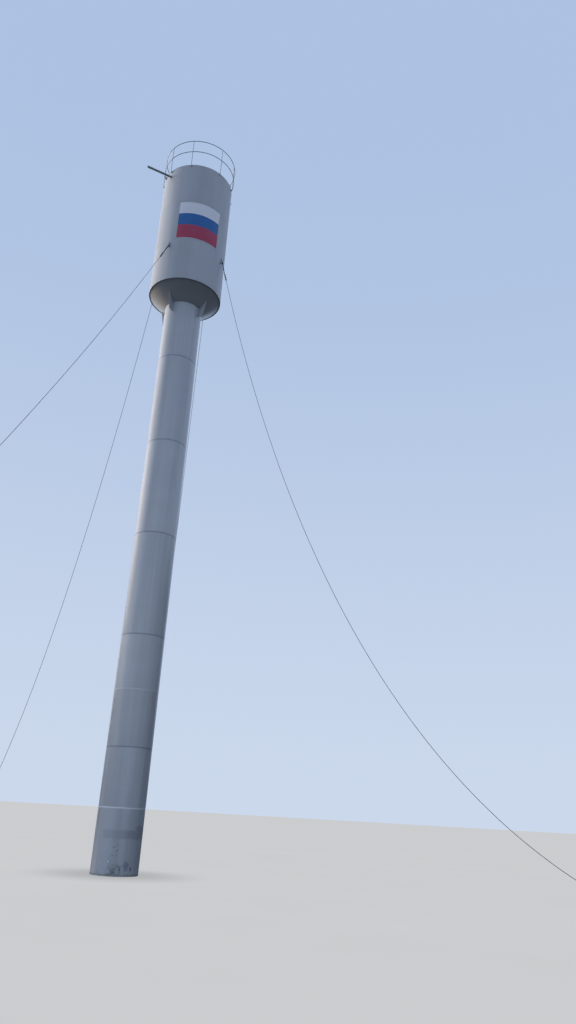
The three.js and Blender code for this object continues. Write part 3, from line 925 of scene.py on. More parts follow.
# %% Roll a course
SEAM_BEAD = 0.9  # an upright seam's bead and pull, as shares of a level one's
SEAM_PULL = 0.7
PULL_DEPTH = 1.6 * MM
WAVE_DEPTH = 0.8 * MM
WAVE_FADE = 0.3  # metres from an edge over which the waves die out
SKIN_INSET = 2.5 * MM  # keeps the tallest bead inside the solid
LINING_INSET = 3 * MM
TOUCH_UP_AND_HIGHLIGHT_REACH = 1.6  # light touch-up paint and painted highlight beside a weld, in beads
DARK_REACH = 1.8


def rolled_course(name, node, radius, plate, seam, material, slot, bead_size=1.0, touched_up_and_highlighted=(0, 0)):
    """One course; the last argument says how light the welds at its foot and at its top are painted, as
    touch-up paint with a painted highlight of the bead.
    """
    low, high = foot_of(node), top_of(node)
    height, angle = np.meshgrid(weld_rows(low, high), weld_bearings([seam], radius), indexing="ij")
    seam_arc = ((angle - math.radians(seam) + math.pi) % TURN - math.pi) * radius
    edge = np.minimum(height - low, high - height)
    weld = np.maximum(bead(edge), bead(seam_arc) * SEAM_BEAD)
    pulled = PULL_DEPTH * np.maximum(pull(edge), SEAM_PULL * pull(seam_arc))
    wave = WAVE_DEPTH * ripple(angle, height, len(height) + seam) * np.clip(edge / WAVE_FADE, 0, 1)
    outer = radius - SKIN_INSET - pulled + wave + BEAD_HEIGHT * bead_size * weld
    # light welds carry touch-up paint and a painted highlight of the bead; the others are dark
    touch_up_and_highlight_share = np.where(height - low < high - height, *touched_up_and_highlighted)
    light = bead(edge / TOUCH_UP_AND_HIGHLIGHT_REACH) * touch_up_and_highlight_share
    dark = np.maximum(weld, bead(edge / DARK_REACH)) * (1 - touch_up_and_highlight_share)

    out = angle + math.radians(FRONT)
    directions = np.stack([np.cos(out), np.sin(out)], -1)
    face = np.concatenate([directions * outer[..., None], height[..., None]], -1)
    lining = np.concatenate([directions * (radius - plate - LINING_INSET), height[..., None]], -1)
    course = Gathered()
    unmarked = np.zeros(2 * height.shape[1])
    body = skin(np.concatenate([face, lining[[-1, 0]]]), closed=True)
    course.add(body, weld=np.concatenate([dark.ravel(), unmarked]))
    marks = {
        "touch_up_and_highlight": np.concatenate([light.ravel(), unmarked]),
        "course": np.full(course.count, float(node.rsplit("_", 1)[1])),
    }
    return course.piece(name, material, slot, [node], marks)


print("a bead stands", round((BEAD_HEIGHT + PULL_DEPTH) / MM, 1), "mm above the plate pulled in beside it")

# %% [markdown]
# ### The column's courses
#
# Each course's upright seam is turned away from the one below, as a boilermaker would, so that no two seams
# meet in a cross. The welds that were painted over late show lighter, and their light colour is also a
# painted highlight of the bead.

# %% Roll the column
COLUMN_SEAMS = (130.0, 219.0)  # bearings, taken in turn
SEAM_DRIFT = 4  # degrees more for each course
TOUCHED_UP_AND_HIGHLIGHTED_WELDS = {1: 1.0, 3: 0.5}  # counted from the foot up, with how light each is painted: touch-up paint and painted highlight
for i, node in enumerate(COLUMN_RINGS):
    touched_up_and_highlighted = (TOUCHED_UP_AND_HIGHLIGHTED_WELDS.get(i, 0.0), TOUCHED_UP_AND_HIGHLIGHTED_WELDS.get(i + 1, 0.0))
    seam = COLUMN_SEAMS[i % 2] + SEAM_DRIFT * i
    rolled_course(
        f"column_course_{i + 1}", node, COLUMN_RADIUS, COLUMN_PLATE, seam, COLUMN_PAINT, "column_paint",
        touched_up_and_highlighted=touched_up_and_highlighted,
    )

# %% [markdown]
# ### The tank's courses
#
# The tank's welds were ground nearly flush before painting, so the same rolling is used with a
# much lower bead.

# %% Roll the tank wall
TANK_SEAMS = (125.0, 215.0, 160.0)
GROUND_BEAD = 0.25
for i, (node, seam) in enumerate(zip(TANK_RINGS, TANK_SEAMS)):
    rolled_course(
        f"tank_course_{i + 1}", node, TANK_RADIUS, TANK_PLATE, seam, TANK_PAINT, "tank_paint",
        bead_size=GROUND_BEAD,
    )

# %% [markdown]
# ## Turned pieces
#
# The foot, the bottom cone, the vent and many small parts are round. A profile of radius and
# height, turned about the axis, makes each of them as one closed body. A weld bead that runs
# round a joint is a small ring of its own, a little lumpy, and pressed flatter than it is wide.

# %% Turn a profile about the upright axis
ON_AXIS = 1e-7


def turned(profile, sides=96, closed=False):
    """A closed body. The profile starts and ends on the axis, or closes on itself."""
    angles = np.linspace(0, TURN, sides, endpoint=False)
    points = []
    rings = []
    for radius, height in profile:
        if radius < ON_AXIS:
            rings.append([len(points)] * sides)
            points.append((0, 0, height))
        else:
            rings.append(list(range(len(points), len(points) + sides)))
            points += [(radius * math.cos(a), radius * math.sin(a), height) for a in angles]
    faces = []
    for lower, upper in list(zip(rings, rings[1:])) + ([(rings[-1], rings[0])] if closed else []):
        for j in range(sides):
            k = (j + 1) % sides
            corners = list(dict.fromkeys([lower[j], lower[k], upper[k], upper[j]]))
            if len(corners) > 2:
                faces.append(corners)
    return points, faces


def weld_ring(radius, height, size=BEAD_HALF, sides=180, across=8, squash=0.7):
    """A rounded bead that runs once round, lumpy as a hand weld is."""
    rings = []
    for a in np.linspace(0, TURN, sides, endpoint=False):
        bulge = size * (1 + 0.12 * math.sin(37 * a) + 0.08 * math.sin(61 * a + 1))
        ring = []
        for b in np.linspace(0, TURN, across, endpoint=False):
            r = radius + bulge * math.cos(b)
            ring.append((r * math.cos(a), r * math.sin(a), height + bulge * squash * math.sin(b)))
        rings.append(ring)
    points, faces = skin(rings, closed=True)
    return points, [face[::-1] for face in faces]


print("a weld ring has", len(weld_ring(1.0, 0.0)[1]), "faces")

# %% [markdown]
# ### The bottom cone
#
# A shallow cone carries the water's weight from the tank wall in to the column. It starts on the
# column's edge and ends inside the wall, which hangs a little below it as a lip. One turned
# profile makes it, and two weld rings close its joints.

# %% Turn the bottom cone
RIM_LIP = 25 * MM  # the wall hangs this far below the cone's edge
CONE_PLATE = 8 * MM
CONE_EDGE = TANK_RADIUS - TANK_PLATE - 3.5 * MM
CONE_EDGE_HEIGHT = TANK_BOTTOM + RIM_LIP
CONE_SLOPE = (CONE_EDGE_HEIGHT - COLUMN_TOP) / (CONE_EDGE - COLUMN_RADIUS)
NEAR_COLUMN, NEAR_WALL = 0.12, 0.10  # rows that keep the shading even beside the edges
cone_profile = [
    (COLUMN_RADIUS - CONE_PLATE, COLUMN_TOP),
    (COLUMN_RADIUS - 2 * MM, COLUMN_TOP),
    (COLUMN_RADIUS + NEAR_COLUMN, COLUMN_TOP + NEAR_COLUMN * CONE_SLOPE),
    (CONE_EDGE - NEAR_WALL, CONE_EDGE_HEIGHT - NEAR_WALL * CONE_SLOPE),
    (CONE_EDGE, CONE_EDGE_HEIGHT),
    (CONE_EDGE, top_of("tank_bottom_cone")),
    (COLUMN_RADIUS - CONE_PLATE, COLUMN_TOP + CONE_PLATE),
]
cone = Gathered().add(turned(cone_profile, 144, closed=True))
cone.add(weld_ring(COLUMN_RADIUS + 1 * MM, COLUMN_TOP, 9 * MM), weld=1.0)
cone.add(weld_ring(CONE_EDGE - 2 * MM, CONE_EDGE_HEIGHT - 3 * MM, 7 * MM), weld=0.6)
cone.piece("bottom_cone", UNDERSIDE_PAINT, "tank_paint", ["tank_bottom_cone"])

# %% [markdown]
# ### The roof
#
# The roof can't be seen from below, but a part is turned every way. It is a shallow cone of
# eight plates with welds between them. A turned profile can't carry the raised welds, so each ring
# is laid out by bearing, with more points beside a weld, and lifted there by the bead's formula.

# %% Lay out the roof with its radial welds
ROOF_TOP = top_of("tank_roof")
ROOF_PLATES = 8
ROOF_FIRST_WELD = 10  # bearing
ROOF_BEAD = 2.5 * MM
ROOF_PLATE = 6 * MM
CROWN_RADIUS = 0.11
ROOF_ROWS = (0.9, 0.6, 0.35)  # radii of the rings that carry the raised welds


def roof_height(radius):
    share = (TANK_RADIUS - radius) / (TANK_RADIUS - CROWN_RADIUS)
    return TANK_TOP + ROOF_PLATE + share * (ROOF_TOP - TANK_TOP - ROOF_PLATE)


roof_rows = [
    (0.0, ROOF_TOP - ROOF_PLATE), (CROWN_RADIUS, ROOF_TOP - ROOF_PLATE),
    (TANK_RADIUS - 8 * MM, TANK_TOP + 1 * MM), (TANK_RADIUS - 2 * MM, TANK_TOP),
    (TANK_RADIUS - 1 * MM, TANK_TOP + 3 * MM), (TANK_RADIUS - ROOF_PLATE, TANK_TOP + ROOF_PLATE),
    *[(radius, roof_height(radius)) for radius in ROOF_ROWS],
    (CROWN_RADIUS, ROOF_TOP), (0.0, ROOF_TOP),
]
roof_welds = [ROOF_FIRST_WELD + i * 360 / ROOF_PLATES for i in range(ROOF_PLATES)]
roof_bearings = np.degrees(weld_bearings(roof_welds, 0.6, 96))
beside_weld = np.min([np.abs((roof_bearings - weld + 180) % 360 - 180) for weld in roof_welds], axis=0)
rings = []
lifts = []
for radius, height in roof_rows:
    lift = bead(np.radians(beside_weld) * radius) * (radius in ROOF_ROWS)
    rings.append([tuple(polar(radius, b, height + up * ROOF_BEAD)) for b, up in zip(roof_bearings, lift)])
    lifts.append(lift)
roof = Gathered().add(skin(rings), weld=np.concatenate(lifts))
roof_plates = roof.piece("roof_plates", TANK_PAINT, "tank_paint", ["tank_roof"])

# %% [markdown]
# The first and the last ring lie on the axis with all their points in one place. Joining those
# points turns their four-sided faces into triangles that meet at the roof's centre.

# %% Join the roof at its centre
SAME_PLACE = 1e-6
joined = bmesh.new()
joined.from_mesh(roof_plates.data)
bmesh.ops.remove_doubles(joined, verts=joined.verts, dist=SAME_PLACE)
joined.to_mesh(roof_plates.data)
joined.free()
print("roof joined at its centre:", len(roof_plates.data.vertices), "points")

# %% [markdown]
# ## Small bodies
#
# Small parts share a few shapes: a rounded box, a bolt with its six-sided head and nut, a round
# bar along a line of points, and a lump of weld. Each is centred on its own origin or runs from
# it along +Z, and short names for a shift and a turn put it in its place.

# %% Describe boxes and bolts


def at(x, y, z):
    return Matrix.Translation((x, y, z))


def spin(degrees, axis):
    return Matrix.Rotation(math.radians(degrees), 4, axis)


def outward(bearing, radius=0.0, height=0.0):
    """A frame at a bearing: its X points out from the axis, its Y across and its Z up."""
    return Matrix.Translation(polar(radius, bearing, height)) @ spin(bearing + FRONT, "Z")


def mm(*pairs):
    """Points given in millimetres."""
    return [tuple(value * MM for value in pair) for pair in pairs]


def from_bmesh(shape):
    shape.verts.ensure_lookup_table()
    points = [tuple(v.co) for v in shape.verts]
    faces = [tuple(v.index for v in face.verts) for face in shape.faces]
    shape.free()
    return points, faces


def rounded_box(size, edge, segments=2):
    shape = bmesh.new()
    bmesh.ops.create_cube(shape, size=1.0)
    bmesh.ops.scale(shape, vec=size, verts=shape.verts)
    rounding = {"offset": edge, "offset_type": "OFFSET", "segments": segments, "profile": 0.5}
    bmesh.ops.bevel(shape, geom=list(shape.edges), affect="EDGES", **rounding)
    return from_bmesh(shape)


def bolt(radius, head, grip):
    """Bodies along +Z: a head below zero, a shank through the grip, and a nut above it."""
    edge = 0.08 * head
    low = -1.3 * radius
    nut_top = grip + 1.5 * radius
    end = grip + 2.7 * radius
    return [
        turned([(0, low), (head - edge, low), (head, low + edge), (head, 0), (0, 0)], 6),
        turned([(0, 0), (radius, 0), (radius, end - 0.3 * radius), (0.8 * radius, end), (0, end)], 16),
        turned([(0, grip), (head, grip), (head, nut_top - edge), (head - edge, nut_top), (0, nut_top)], 6),
    ]


print("a bolt has", sum(len(faces) for points, faces in bolt(4 * MM, 7 * MM, 0)), "faces")

# %% [markdown]
# Rails, rope ends and weld fillets are round bars that bend. A curve with a bevel would make
# them too, but it twists where the line turns sharply. Here each ring's side direction is
# carried on from the ring before it, which keeps the bar free of twist.

# %% Describe bars and lumps of weld


def tube(line, radius, sides=16, capped=True):
    """A round bar along a line of points; radius may be one number or one for each point."""
    line = [Vector(p) for p in line]
    radii = radius if hasattr(radius, "__len__") else [radius] * len(line)
    closed = not capped
    side = (line[1] - line[0]).orthogonal().normalized()
    rings = []
    for i, here in enumerate(line):
        before = line[i - 1] if i or closed else line[0]
        after = line[(i + 1) % len(line)] if i < len(line) - 1 or closed else line[-1]
        along = (after - before).normalized()
        side = (side - along * side.dot(along)).normalized()
        other = along.cross(side)
        angles = [TURN * j / sides for j in range(sides)]
        rings.append([here + (side * math.cos(a) + other * math.sin(a)) * radii[i] for a in angles])
    return skin(rings, closed=closed, capped=capped)


def blob(radius, squash=0.6):
    """A lump of weld."""
    rows = [(radius * math.sin(a), -radius * squash * math.cos(a)) for a in np.linspace(0, math.pi, 7)]
    rows[0] = (0, rows[0][1])
    rows[-1] = (0, rows[-1][1])
    return turned(rows, 10)


print("a lump of weld has", len(blob(10 * MM)[1]), "faces")

# %% [markdown]
# ### The vent
#
# Air has to get in when the water level falls, so a short stem with a cap stands at the roof's
# top. The cap is held clear of the stem by four struts, and six bolts hold the stem's foot.

# %% Build the vent
vent_low, vent_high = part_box("roof_vent")
vent_foot = vent_low.z
CAP_RADIUS = vent_high.x
STEM_RADIUS = 57 * MM
STEM_FLANGE = STEM_RADIUS + 28 * MM
CAP_RISE = 0.17
VENT_STRUTS = 4
VENT_BOLTS = 6
cap_foot = vent_foot + CAP_RISE
stem_top = cap_foot - 30 * MM
stem_profile = [
    (0, vent_foot), (STEM_FLANGE, vent_foot), (STEM_FLANGE, vent_foot + 8 * MM),
    (STEM_RADIUS + 6 * MM, vent_foot + 9 * MM), (STEM_RADIUS, vent_foot + 15 * MM),
    (STEM_RADIUS, stem_top), (0, stem_top),
]
cap_profile = [
    (0, cap_foot + 18 * MM), (CAP_RADIUS - 6 * MM, cap_foot - 2 * MM),
    (CAP_RADIUS - 2 * MM, cap_foot - 6 * MM), (CAP_RADIUS, cap_foot - 2 * MM),
    (CAP_RADIUS - 2 * MM, cap_foot + 8 * MM), (CAP_RADIUS * 0.7, cap_foot + 34 * MM),
    (CAP_RADIUS * 0.35, cap_foot + 50 * MM), (0, cap_foot + 56 * MM),
]
vent = Gathered().add(turned(stem_profile, 48)).add(turned(cap_profile, 48))
strut = rounded_box((4 * MM, 16 * MM, 64 * MM), 1 * MM)
for k in range(VENT_STRUTS):
    vent.add(strut, spin(45 + 90 * k, "Z") @ at(STEM_RADIUS - 4 * MM, 0, cap_foot - 20 * MM))
for k in range(VENT_BOLTS):
    spot = spin(360 / VENT_BOLTS * k, "Z") @ at(STEM_RADIUS + 18 * MM, 0, vent_foot + 8 * MM)
    vent.add(bolt(4 * MM, 7 * MM, 0), spot)
vent.piece("vent_cowl", FITTING_PAINT, "tank_paint", ["roof_vent"])

# %% [markdown]
# ### The manhole
#
# The inside has to be reached for painting, so the roof has a short upright neck with a flange, and a domed
# lid bolted on it. The neck's lower edge follows the sloping roof, which a turned profile can't do, so its
# rings are laid out one by one and each point's height is read from the roof.

# %% Build the manhole's neck
neck_low, neck_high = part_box("hatch_neck")
hatch_centre = Vector(((neck_low.x + neck_high.x) / 2, (neck_low.y + neck_high.y) / 2, 0))
HATCH_SIDES = 72
HATCH_RADIUS = (neck_high.x - neck_low.x) / 2
NECK_PLATE = 6 * MM
LID_RADIUS = HATCH_RADIUS + 32 * MM


def hatch_circle(radius):
    """Points round the manhole, and their distance from the tower's axis."""
    for a in np.linspace(0, TURN, HATCH_SIDES, endpoint=False):
        spot = hatch_centre + Vector((radius * math.cos(a), radius * math.sin(a), 0))
        yield spot.x, spot.y, math.hypot(spot.x, spot.y)


def neck_foot(radius):
    return [(x, y, roof_height(min(TANK_RADIUS, out)) - 1 * MM) for x, y, out in hatch_circle(radius)]


def neck_top(radius):
    return [(x, y, neck_high.z) for x, y, _ in hatch_circle(radius)]


inner_radius = HATCH_RADIUS - NECK_PLATE
outside = [neck_foot(HATCH_RADIUS), neck_top(HATCH_RADIUS)]
flange_profile = [
    (HATCH_RADIUS - 1 * MM, -12 * MM), (LID_RADIUS - 2 * MM, -12 * MM), (LID_RADIUS, -10 * MM),
    (LID_RADIUS, -1 * MM), (HATCH_RADIUS - 1 * MM, -1 * MM),
]
foot_weld = [(x, y, roof_height(out) + 2 * MM) for x, y, out in hatch_circle(HATCH_RADIUS + 2 * MM)]
neck = Gathered().add(skin([neck_foot(inner_radius), *outside, neck_top(inner_radius)], closed=True))
neck.add(turned(flange_profile, HATCH_SIDES, closed=True), at(hatch_centre.x, hatch_centre.y, neck_high.z))
neck.add(tube(foot_weld, 6 * MM, 8, capped=False), weld=0.5)
neck.piece("manhole_neck", TANK_PAINT, "tank_paint", ["hatch_neck"])

# %% [markdown]
# The lid is one turned dome with a flat rim. Twelve bolts go through the rim, and a bent bar is
# its handle, on the side away from the tower's axis.

# %% Build the manhole's lid
HATCH_BOLTS = 12
HANDLE_OUT = 0.12
HANDLE_BAR = 5 * MM
hatch_bearing = math.degrees(math.atan2(hatch_centre.x, -hatch_centre.y))
lid_profile = [
    (0, 0), (LID_RADIUS - 1 * MM, 0), (LID_RADIUS, 2 * MM), (LID_RADIUS, 9 * MM),
    (LID_RADIUS - 2 * MM, 11 * MM), (HATCH_RADIUS * 0.8, 16 * MM),
    (HATCH_RADIUS * 0.4, 24 * MM), (0, 26 * MM),
]
lid_spot = at(hatch_centre.x, hatch_centre.y, foot_of("hatch_lid"))
lid = Gathered().add(turned(lid_profile, HATCH_SIDES), lid_spot)
for k in range(HATCH_BOLTS):
    spot = lid_spot @ spin(360 * (k + 0.5) / HATCH_BOLTS, "Z") @ at(LID_RADIUS - 15 * MM, 0, 10 * MM)
    lid.add(bolt(5 * MM, 9 * MM, 0), spot)
handle = mm((-70, 0, 14), (-70, 0, 30), (-60, 0, 37), (60, 0, 37), (70, 0, 30), (70, 0, 14))
lid.add(tube(handle, HANDLE_BAR, 12), lid_spot @ spin(hatch_bearing, "Z") @ at(0, HANDLE_OUT, 0))
lid.piece("manhole_lid", FITTING_PAINT, "tank_paint", ["hatch_lid"])

# %% [markdown]
# ## Cut plates
#
# Gussets and lugs are flat plates with holes and slightly rounded edges. A 2-D curve with holes
# fills and thickens itself, so each plate is drawn as an outline, turned into a mesh, and stood
# upright at its bearing. Weld fillets then run along the edges that touch the tower.

# %% Cut a plate from its outline
HOLE_SIDES = 28


def plate_curve(outline, thickness, holes, edge):
    """A filled 2-D curve, with rounded edges that stay inside the outline."""
    curve = bpy.data.curves.new("outline", "CURVE")
    curve.dimensions = "2D"
    curve.fill_mode = "BOTH"
    curve.extrude = thickness / 2 - edge
    curve.bevel_depth = edge
    curve.bevel_resolution = 1
    curve.offset = -edge
    loops = [list(outline)]
    for x, z, radius in holes:
        angles = np.linspace(0, TURN, HOLE_SIDES, endpoint=False)
        loops.append([(x + radius * math.cos(a), z + radius * math.sin(a)) for a in angles])
    for loop in loops:
        spline = curve.splines.new("POLY")
        spline.points.add(len(loop) - 1)
        for point, (x, z) in zip(spline.points, loop):
            point.co = (x, z, 0, 1)
        spline.use_cyclic_u = True
    return curve


def cut_plate(outline, thickness, holes=(), edge=1 * MM):
    """A plate in the local XZ plane, centred across Y. Outline points are (out, up)."""
    holder = bpy.data.objects.new("outline", plate_curve(outline, thickness, holes, edge))
    bpy.context.scene.collection.objects.link(holder)
    bpy.context.view_layer.update()
    mesh = bpy.data.meshes.new_from_object(holder.evaluated_get(bpy.context.evaluated_depsgraph_get()))
    bpy.data.objects.remove(holder)
    shape = bmesh.new()
    shape.from_mesh(mesh)
    bpy.data.meshes.remove(mesh)
    bmesh.ops.remove_doubles(shape, verts=shape.verts, dist=SAME_PLACE)
    bmesh.ops.recalc_face_normals(shape, faces=shape.faces)
    upright = Matrix.Rotation(math.radians(90), 3, "X")
    bmesh.ops.rotate(shape, cent=(0, 0, 0), matrix=upright, verts=shape.verts)
    return from_bmesh(shape)


def fillet(start, end, size, lumps=24):
    """A weld bead between two points, with an uneven width."""
    line = [Vector(start).lerp(Vector(end), i / lumps) for i in range(lumps + 1)]
    widths = [size * (1 + 0.15 * math.sin(2.1 * i) + 0.1 * math.sin(3.7 * i + 1)) for i in range(lumps + 1)]
    return tube(line, widths, 8)


print("a plain plate has", len(cut_plate(mm((0, 0), (50, 0), (50, 50)), 10 * MM)[1]), "faces")

# %% [markdown]
# ### The gussets
#
# Four stiffening plates stand in the corner between the column and the cone. Each outline starts
# down the column, runs out under the cone at the cone's own slope, and leaves the inner corner
# free for the ring weld.

# %% Weld the gussets in
GUSSETS = {"front_left": -45, "front_right": 45, "back_right": 135, "back_left": -135}  # bearings
GUSSET_PLATE = 10 * MM
GUSSET_REACH = 0.900
GUSSET_FOOT = 0.780
GUSSET_DROP = 0.360
GUSSET_WELD = 4 * MM


def cone_height(radius):
    return COLUMN_TOP + (radius - COLUMN_RADIUS) * CONE_SLOPE


for corner, bearing in GUSSETS.items():
    inner = COLUMN_RADIUS - 1 * MM
    low = COLUMN_TOP - GUSSET_DROP
    top_out = cone_height(GUSSET_REACH) - 1 * MM
    outline = [
        (inner, low), (GUSSET_FOOT - 8 * MM, low), (GUSSET_FOOT + 2 * MM, low + 10 * MM),
        (GUSSET_REACH, top_out), (COLUMN_RADIUS + 30 * MM, cone_height(COLUMN_RADIUS + 30 * MM) - 1 * MM),
        (inner, cone_height(inner) - 28 * MM),
    ]
    spot = outward(bearing)
    gusset = Gathered().add(cut_plate(outline, GUSSET_PLATE), spot)
    under_cone = COLUMN_RADIUS + 36 * MM
    for y in (-GUSSET_PLATE / 2, GUSSET_PLATE / 2):
        for start, end in (
            ((COLUMN_RADIUS, y, low + 6 * MM), (COLUMN_RADIUS, y, cone_height(inner) - 30 * MM)),
            ((under_cone, y, cone_height(under_cone)), (GUSSET_REACH - 6 * MM, y, top_out - 4 * MM)),
        ):
            gusset.add(fillet(start, end, GUSSET_WELD), spot, weld=0.4)
    gusset.piece(f"gusset_plate_{corner}", FITTING_PAINT, "fitting_paint", [f"gusset_{corner}"])

# %% [markdown]
# ## The roof railing
#
# Two rings of pipe run round the tank's top edge on thin posts, which stand just outside the wall
# on small welded tabs. Hand-bent rings are not quite true, so a few millimetres of waver are
# given to them, and each joint gets its lump of weld.

# %% Bend the rails and stand the posts
RAIL_CIRCLE = 1.240
RAIL_TUBE = 12.5 * MM
RAIL_LEVELS = [TANK_TOP + 0.570, TANK_TOP + 1.050]
RAIL_STEPS = 180
POST_TUBE = 11 * MM
POST_COUNT = 9
POST_FRONT_GAP = 49.5  # degrees, between the two posts beside the front
POST_FOOT = TANK_TOP - 70 * MM
TAB_REACH = RAIL_CIRCLE - TANK_RADIUS
post_spacing = (360 - POST_FRONT_GAP) / (POST_COUNT - 1)


def rail_ring(number, level):
    """A ring with its waver, which bends only the lower one sideways."""
    ring = []
    for bearing in np.linspace(0, 360, RAIL_STEPS, endpoint=False):
        a = math.radians(bearing)
        seed = number + 1
        sag = 3 * MM * math.sin(3 * a + seed) + 2 * MM * math.sin(8 * a + 2 * seed)
        radius = RAIL_CIRCLE - 3 * MM + (0.0 if number else sag)
        ring.append(polar(radius, bearing, level - 1 * MM - abs(sag) * 0.6))
    return tube(ring, RAIL_TUBE, 14, capped=False)


rails = Gathered()
for number, level in enumerate(RAIL_LEVELS):
    rails.add(rail_ring(number, level))
tab = rounded_box((TAB_REACH + 4 * MM, 8 * MM, 70 * MM), 1.5 * MM)
for k in range(POST_COUNT):
    spot = outward(POST_FRONT_GAP / 2 + k * post_spacing)
    post = [(RAIL_CIRCLE, 0, height) for height in (POST_FOOT, POST_FOOT + 0.4, RAIL_LEVELS[-1])]
    rails.add(tube(post, POST_TUBE, 14), spot)
    for level in RAIL_LEVELS:
        rails.add(blob(RAIL_TUBE * 1.35), spot @ at(RAIL_CIRCLE, 0, level - 3 * MM), 0.6)
    rails.add(tab, spot @ at(RAIL_CIRCLE - TAB_REACH / 2 - 2 * MM, 0, POST_FOOT + 35 * MM))
    x = TANK_RADIUS - 1 * MM
    for y in (-5 * MM, 5 * MM):
        rails.add(fillet((x, y, POST_FOOT + 2 * MM), (x, y, TANK_TOP - 3 * MM), 4 * MM, 8), spot, 0.5)
rails.piece("roof_railing", RAIL_PAINT, "railing_paint", [f"railing_section_{i}" for i in (1, 2, 3)])

# %% [markdown]
# ## The lifting lugs
#
# Two thick plates at the tank's top edge, each with a hole, are what the tower is lifted by.
# They face sideways, and are welded down both sides.

# %% Weld on the lifting lugs
LIFTING = {"left": -82.5, "right": 97.5}  # bearings
LIFTING_PLATE = 14 * MM
LIFTING_CORNER = 24 * MM
LIFTING_TIP = TANK_RADIUS + 95 * MM
LIFTING_HOLE = (TANK_RADIUS + 58 * MM, TANK_TOP + 8 * MM, 18 * MM)  # out, up and radius
CORNER_ARC = 1.5  # radians of the rounded corner
for side, bearing in LIFTING.items():
    wall = TANK_RADIUS - 2 * MM
    low, high = foot_of(f"lifting_lug_{side}"), top_of(f"lifting_lug_{side}")
    corner = [
        (LIFTING_TIP - LIFTING_CORNER * (1 - math.cos(a)), high - LIFTING_CORNER * (1 - math.sin(a)))
        for a in np.linspace(0, CORNER_ARC, 7)
    ]
    under_edge = [(wall, low), (TANK_RADIUS + 20 * MM, low), (LIFTING_TIP, TANK_TOP - 20 * MM)]
    spot = outward(bearing)
    outline = [*under_edge, *corner, (wall, high)]
    lug = Gathered().add(cut_plate(outline, LIFTING_PLATE, [LIFTING_HOLE], 1.5 * MM), spot)
    for y in (-LIFTING_PLATE / 2, LIFTING_PLATE / 2):
        start, end = [(TANK_RADIUS, y, z) for z in (low + 4 * MM, TANK_TOP - 4 * MM)]
        lug.add(fillet(start, end, 5 * MM), spot, weld=0.5)
    lug.piece(f"lifting_plate_{side}", FITTING_PAINT, "fitting_paint", [f"lifting_lug_{side}"])

# %% [markdown]
# ## The overflow pipe
#
# A plain dark tube leaves the wall near its top and falls a little, so that it drains. It is a
# turned profile that closes on itself, so the pipe is truly open, with a collar of weld at the wall.

# %% Run the overflow pipe out of the wall
PIPE_BEARING = -63.75
PIPE_RADIUS = 38 * MM
PIPE_BORE = 34 * MM
PIPE_LENGTH = 0.960  # level, from the wall
PIPE_FALL = 0.28  # for each metre outward
PIPE_HEIGHT = 22.150
length = PIPE_LENGTH * math.hypot(1, PIPE_FALL)
pipe_profile = [
    (PIPE_BORE, 0), (PIPE_RADIUS, 0), (PIPE_RADIUS, length - 1 * MM), (PIPE_RADIUS - 1 * MM, length),
    (PIPE_BORE + 0.5 * MM, length), (PIPE_BORE, length - 1 * MM),
]
collar_profile = [
    (PIPE_RADIUS - 1 * MM, 4 * MM), (PIPE_RADIUS + 9 * MM, 4 * MM),
    (PIPE_RADIUS + 7 * MM, 10 * MM), (PIPE_RADIUS - 1 * MM, 16 * MM),
]
tilt = spin(90 + math.degrees(math.atan(PIPE_FALL)), "Y")
pipe_spot = outward(PIPE_BEARING, TANK_RADIUS - 6 * MM, PIPE_HEIGHT) @ tilt
pipe = Gathered().add(turned(pipe_profile, 40, closed=True), pipe_spot)
pipe.add(turned(collar_profile, 40, closed=True), pipe_spot, weld=1.0)
pipe.piece("overflow_tube", PIPE_PAINT, "dark_pipe", ["overflow_pipe"])

# %% [markdown]
# ## The guy stays
#
# Each stay is a wire rope that hangs in a gentle curve from a lug on the tank to its anchor.
# The curve's line is read back from its solid: the solid's points lie in rings, and
# the middle of each ring is a point of the line. A smooth curve through those points is then
# walked in small steps, so that strands can be twisted round it.

# %% Read a stay's line from its node
CORNERS = ("front_left", "front_right", "back_right", "back_left")
RING_GAP = 0.1  # a jump in distance that is longer than this starts the next ring


def centreline(node):
    """The middles of the solid's rings, from the top down."""
    co = np.array([v.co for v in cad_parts[node].data.vertices])
    walked = np.linalg.norm(co - co[np.argmax(co[:, 2])], axis=1)
    order = np.argsort(walked)
    breaks = np.flatnonzero(np.diff(walked[order]) > RING_GAP) + 1
    groups = np.split(co[order], breaks)
    return np.array([np.unique(np.round(group, 5), axis=0).mean(0) for group in groups])


def smooth_line(points, step):
    """A natural cubic through the points, sampled at even steps of length."""
    knots = np.r_[0, np.cumsum(np.linalg.norm(np.diff(points, axis=0), axis=1))]
    n = len(points)
    h = np.diff(knots)
    system = np.eye(n)
    target = np.zeros((n, 3))
    for i in range(1, n - 1):
        system[i, i - 1 : i + 2] = h[i - 1], 2 * (h[i - 1] + h[i]), h[i]
        target[i] = 6 * ((points[i + 1] - points[i]) / h[i] - (points[i] - points[i - 1]) / h[i - 1])
    bends = np.linalg.solve(system, target)
    along = np.linspace(0, knots[-1], int(knots[-1] / step))
    k = np.clip(np.searchsorted(knots, along) - 1, 0, n - 2)
    a, b = (knots[k + 1] - along)[:, None], (along - knots[k])[:, None]
    hk = h[k][:, None]
    line = (bends[k] * a**3 + bends[k + 1] * b**3) / (6 * hk)
    line += (points[k] / hk - bends[k] * hk / 6) * a + (points[k + 1] / hk - bends[k + 1] * hk / 6) * b
    return line


stay_middles = {corner: centreline(f"guy_stay_{corner}") for corner in CORNERS}
print("rings read from each stay:", {corner: len(middles) for corner, middles in stay_middles.items()})

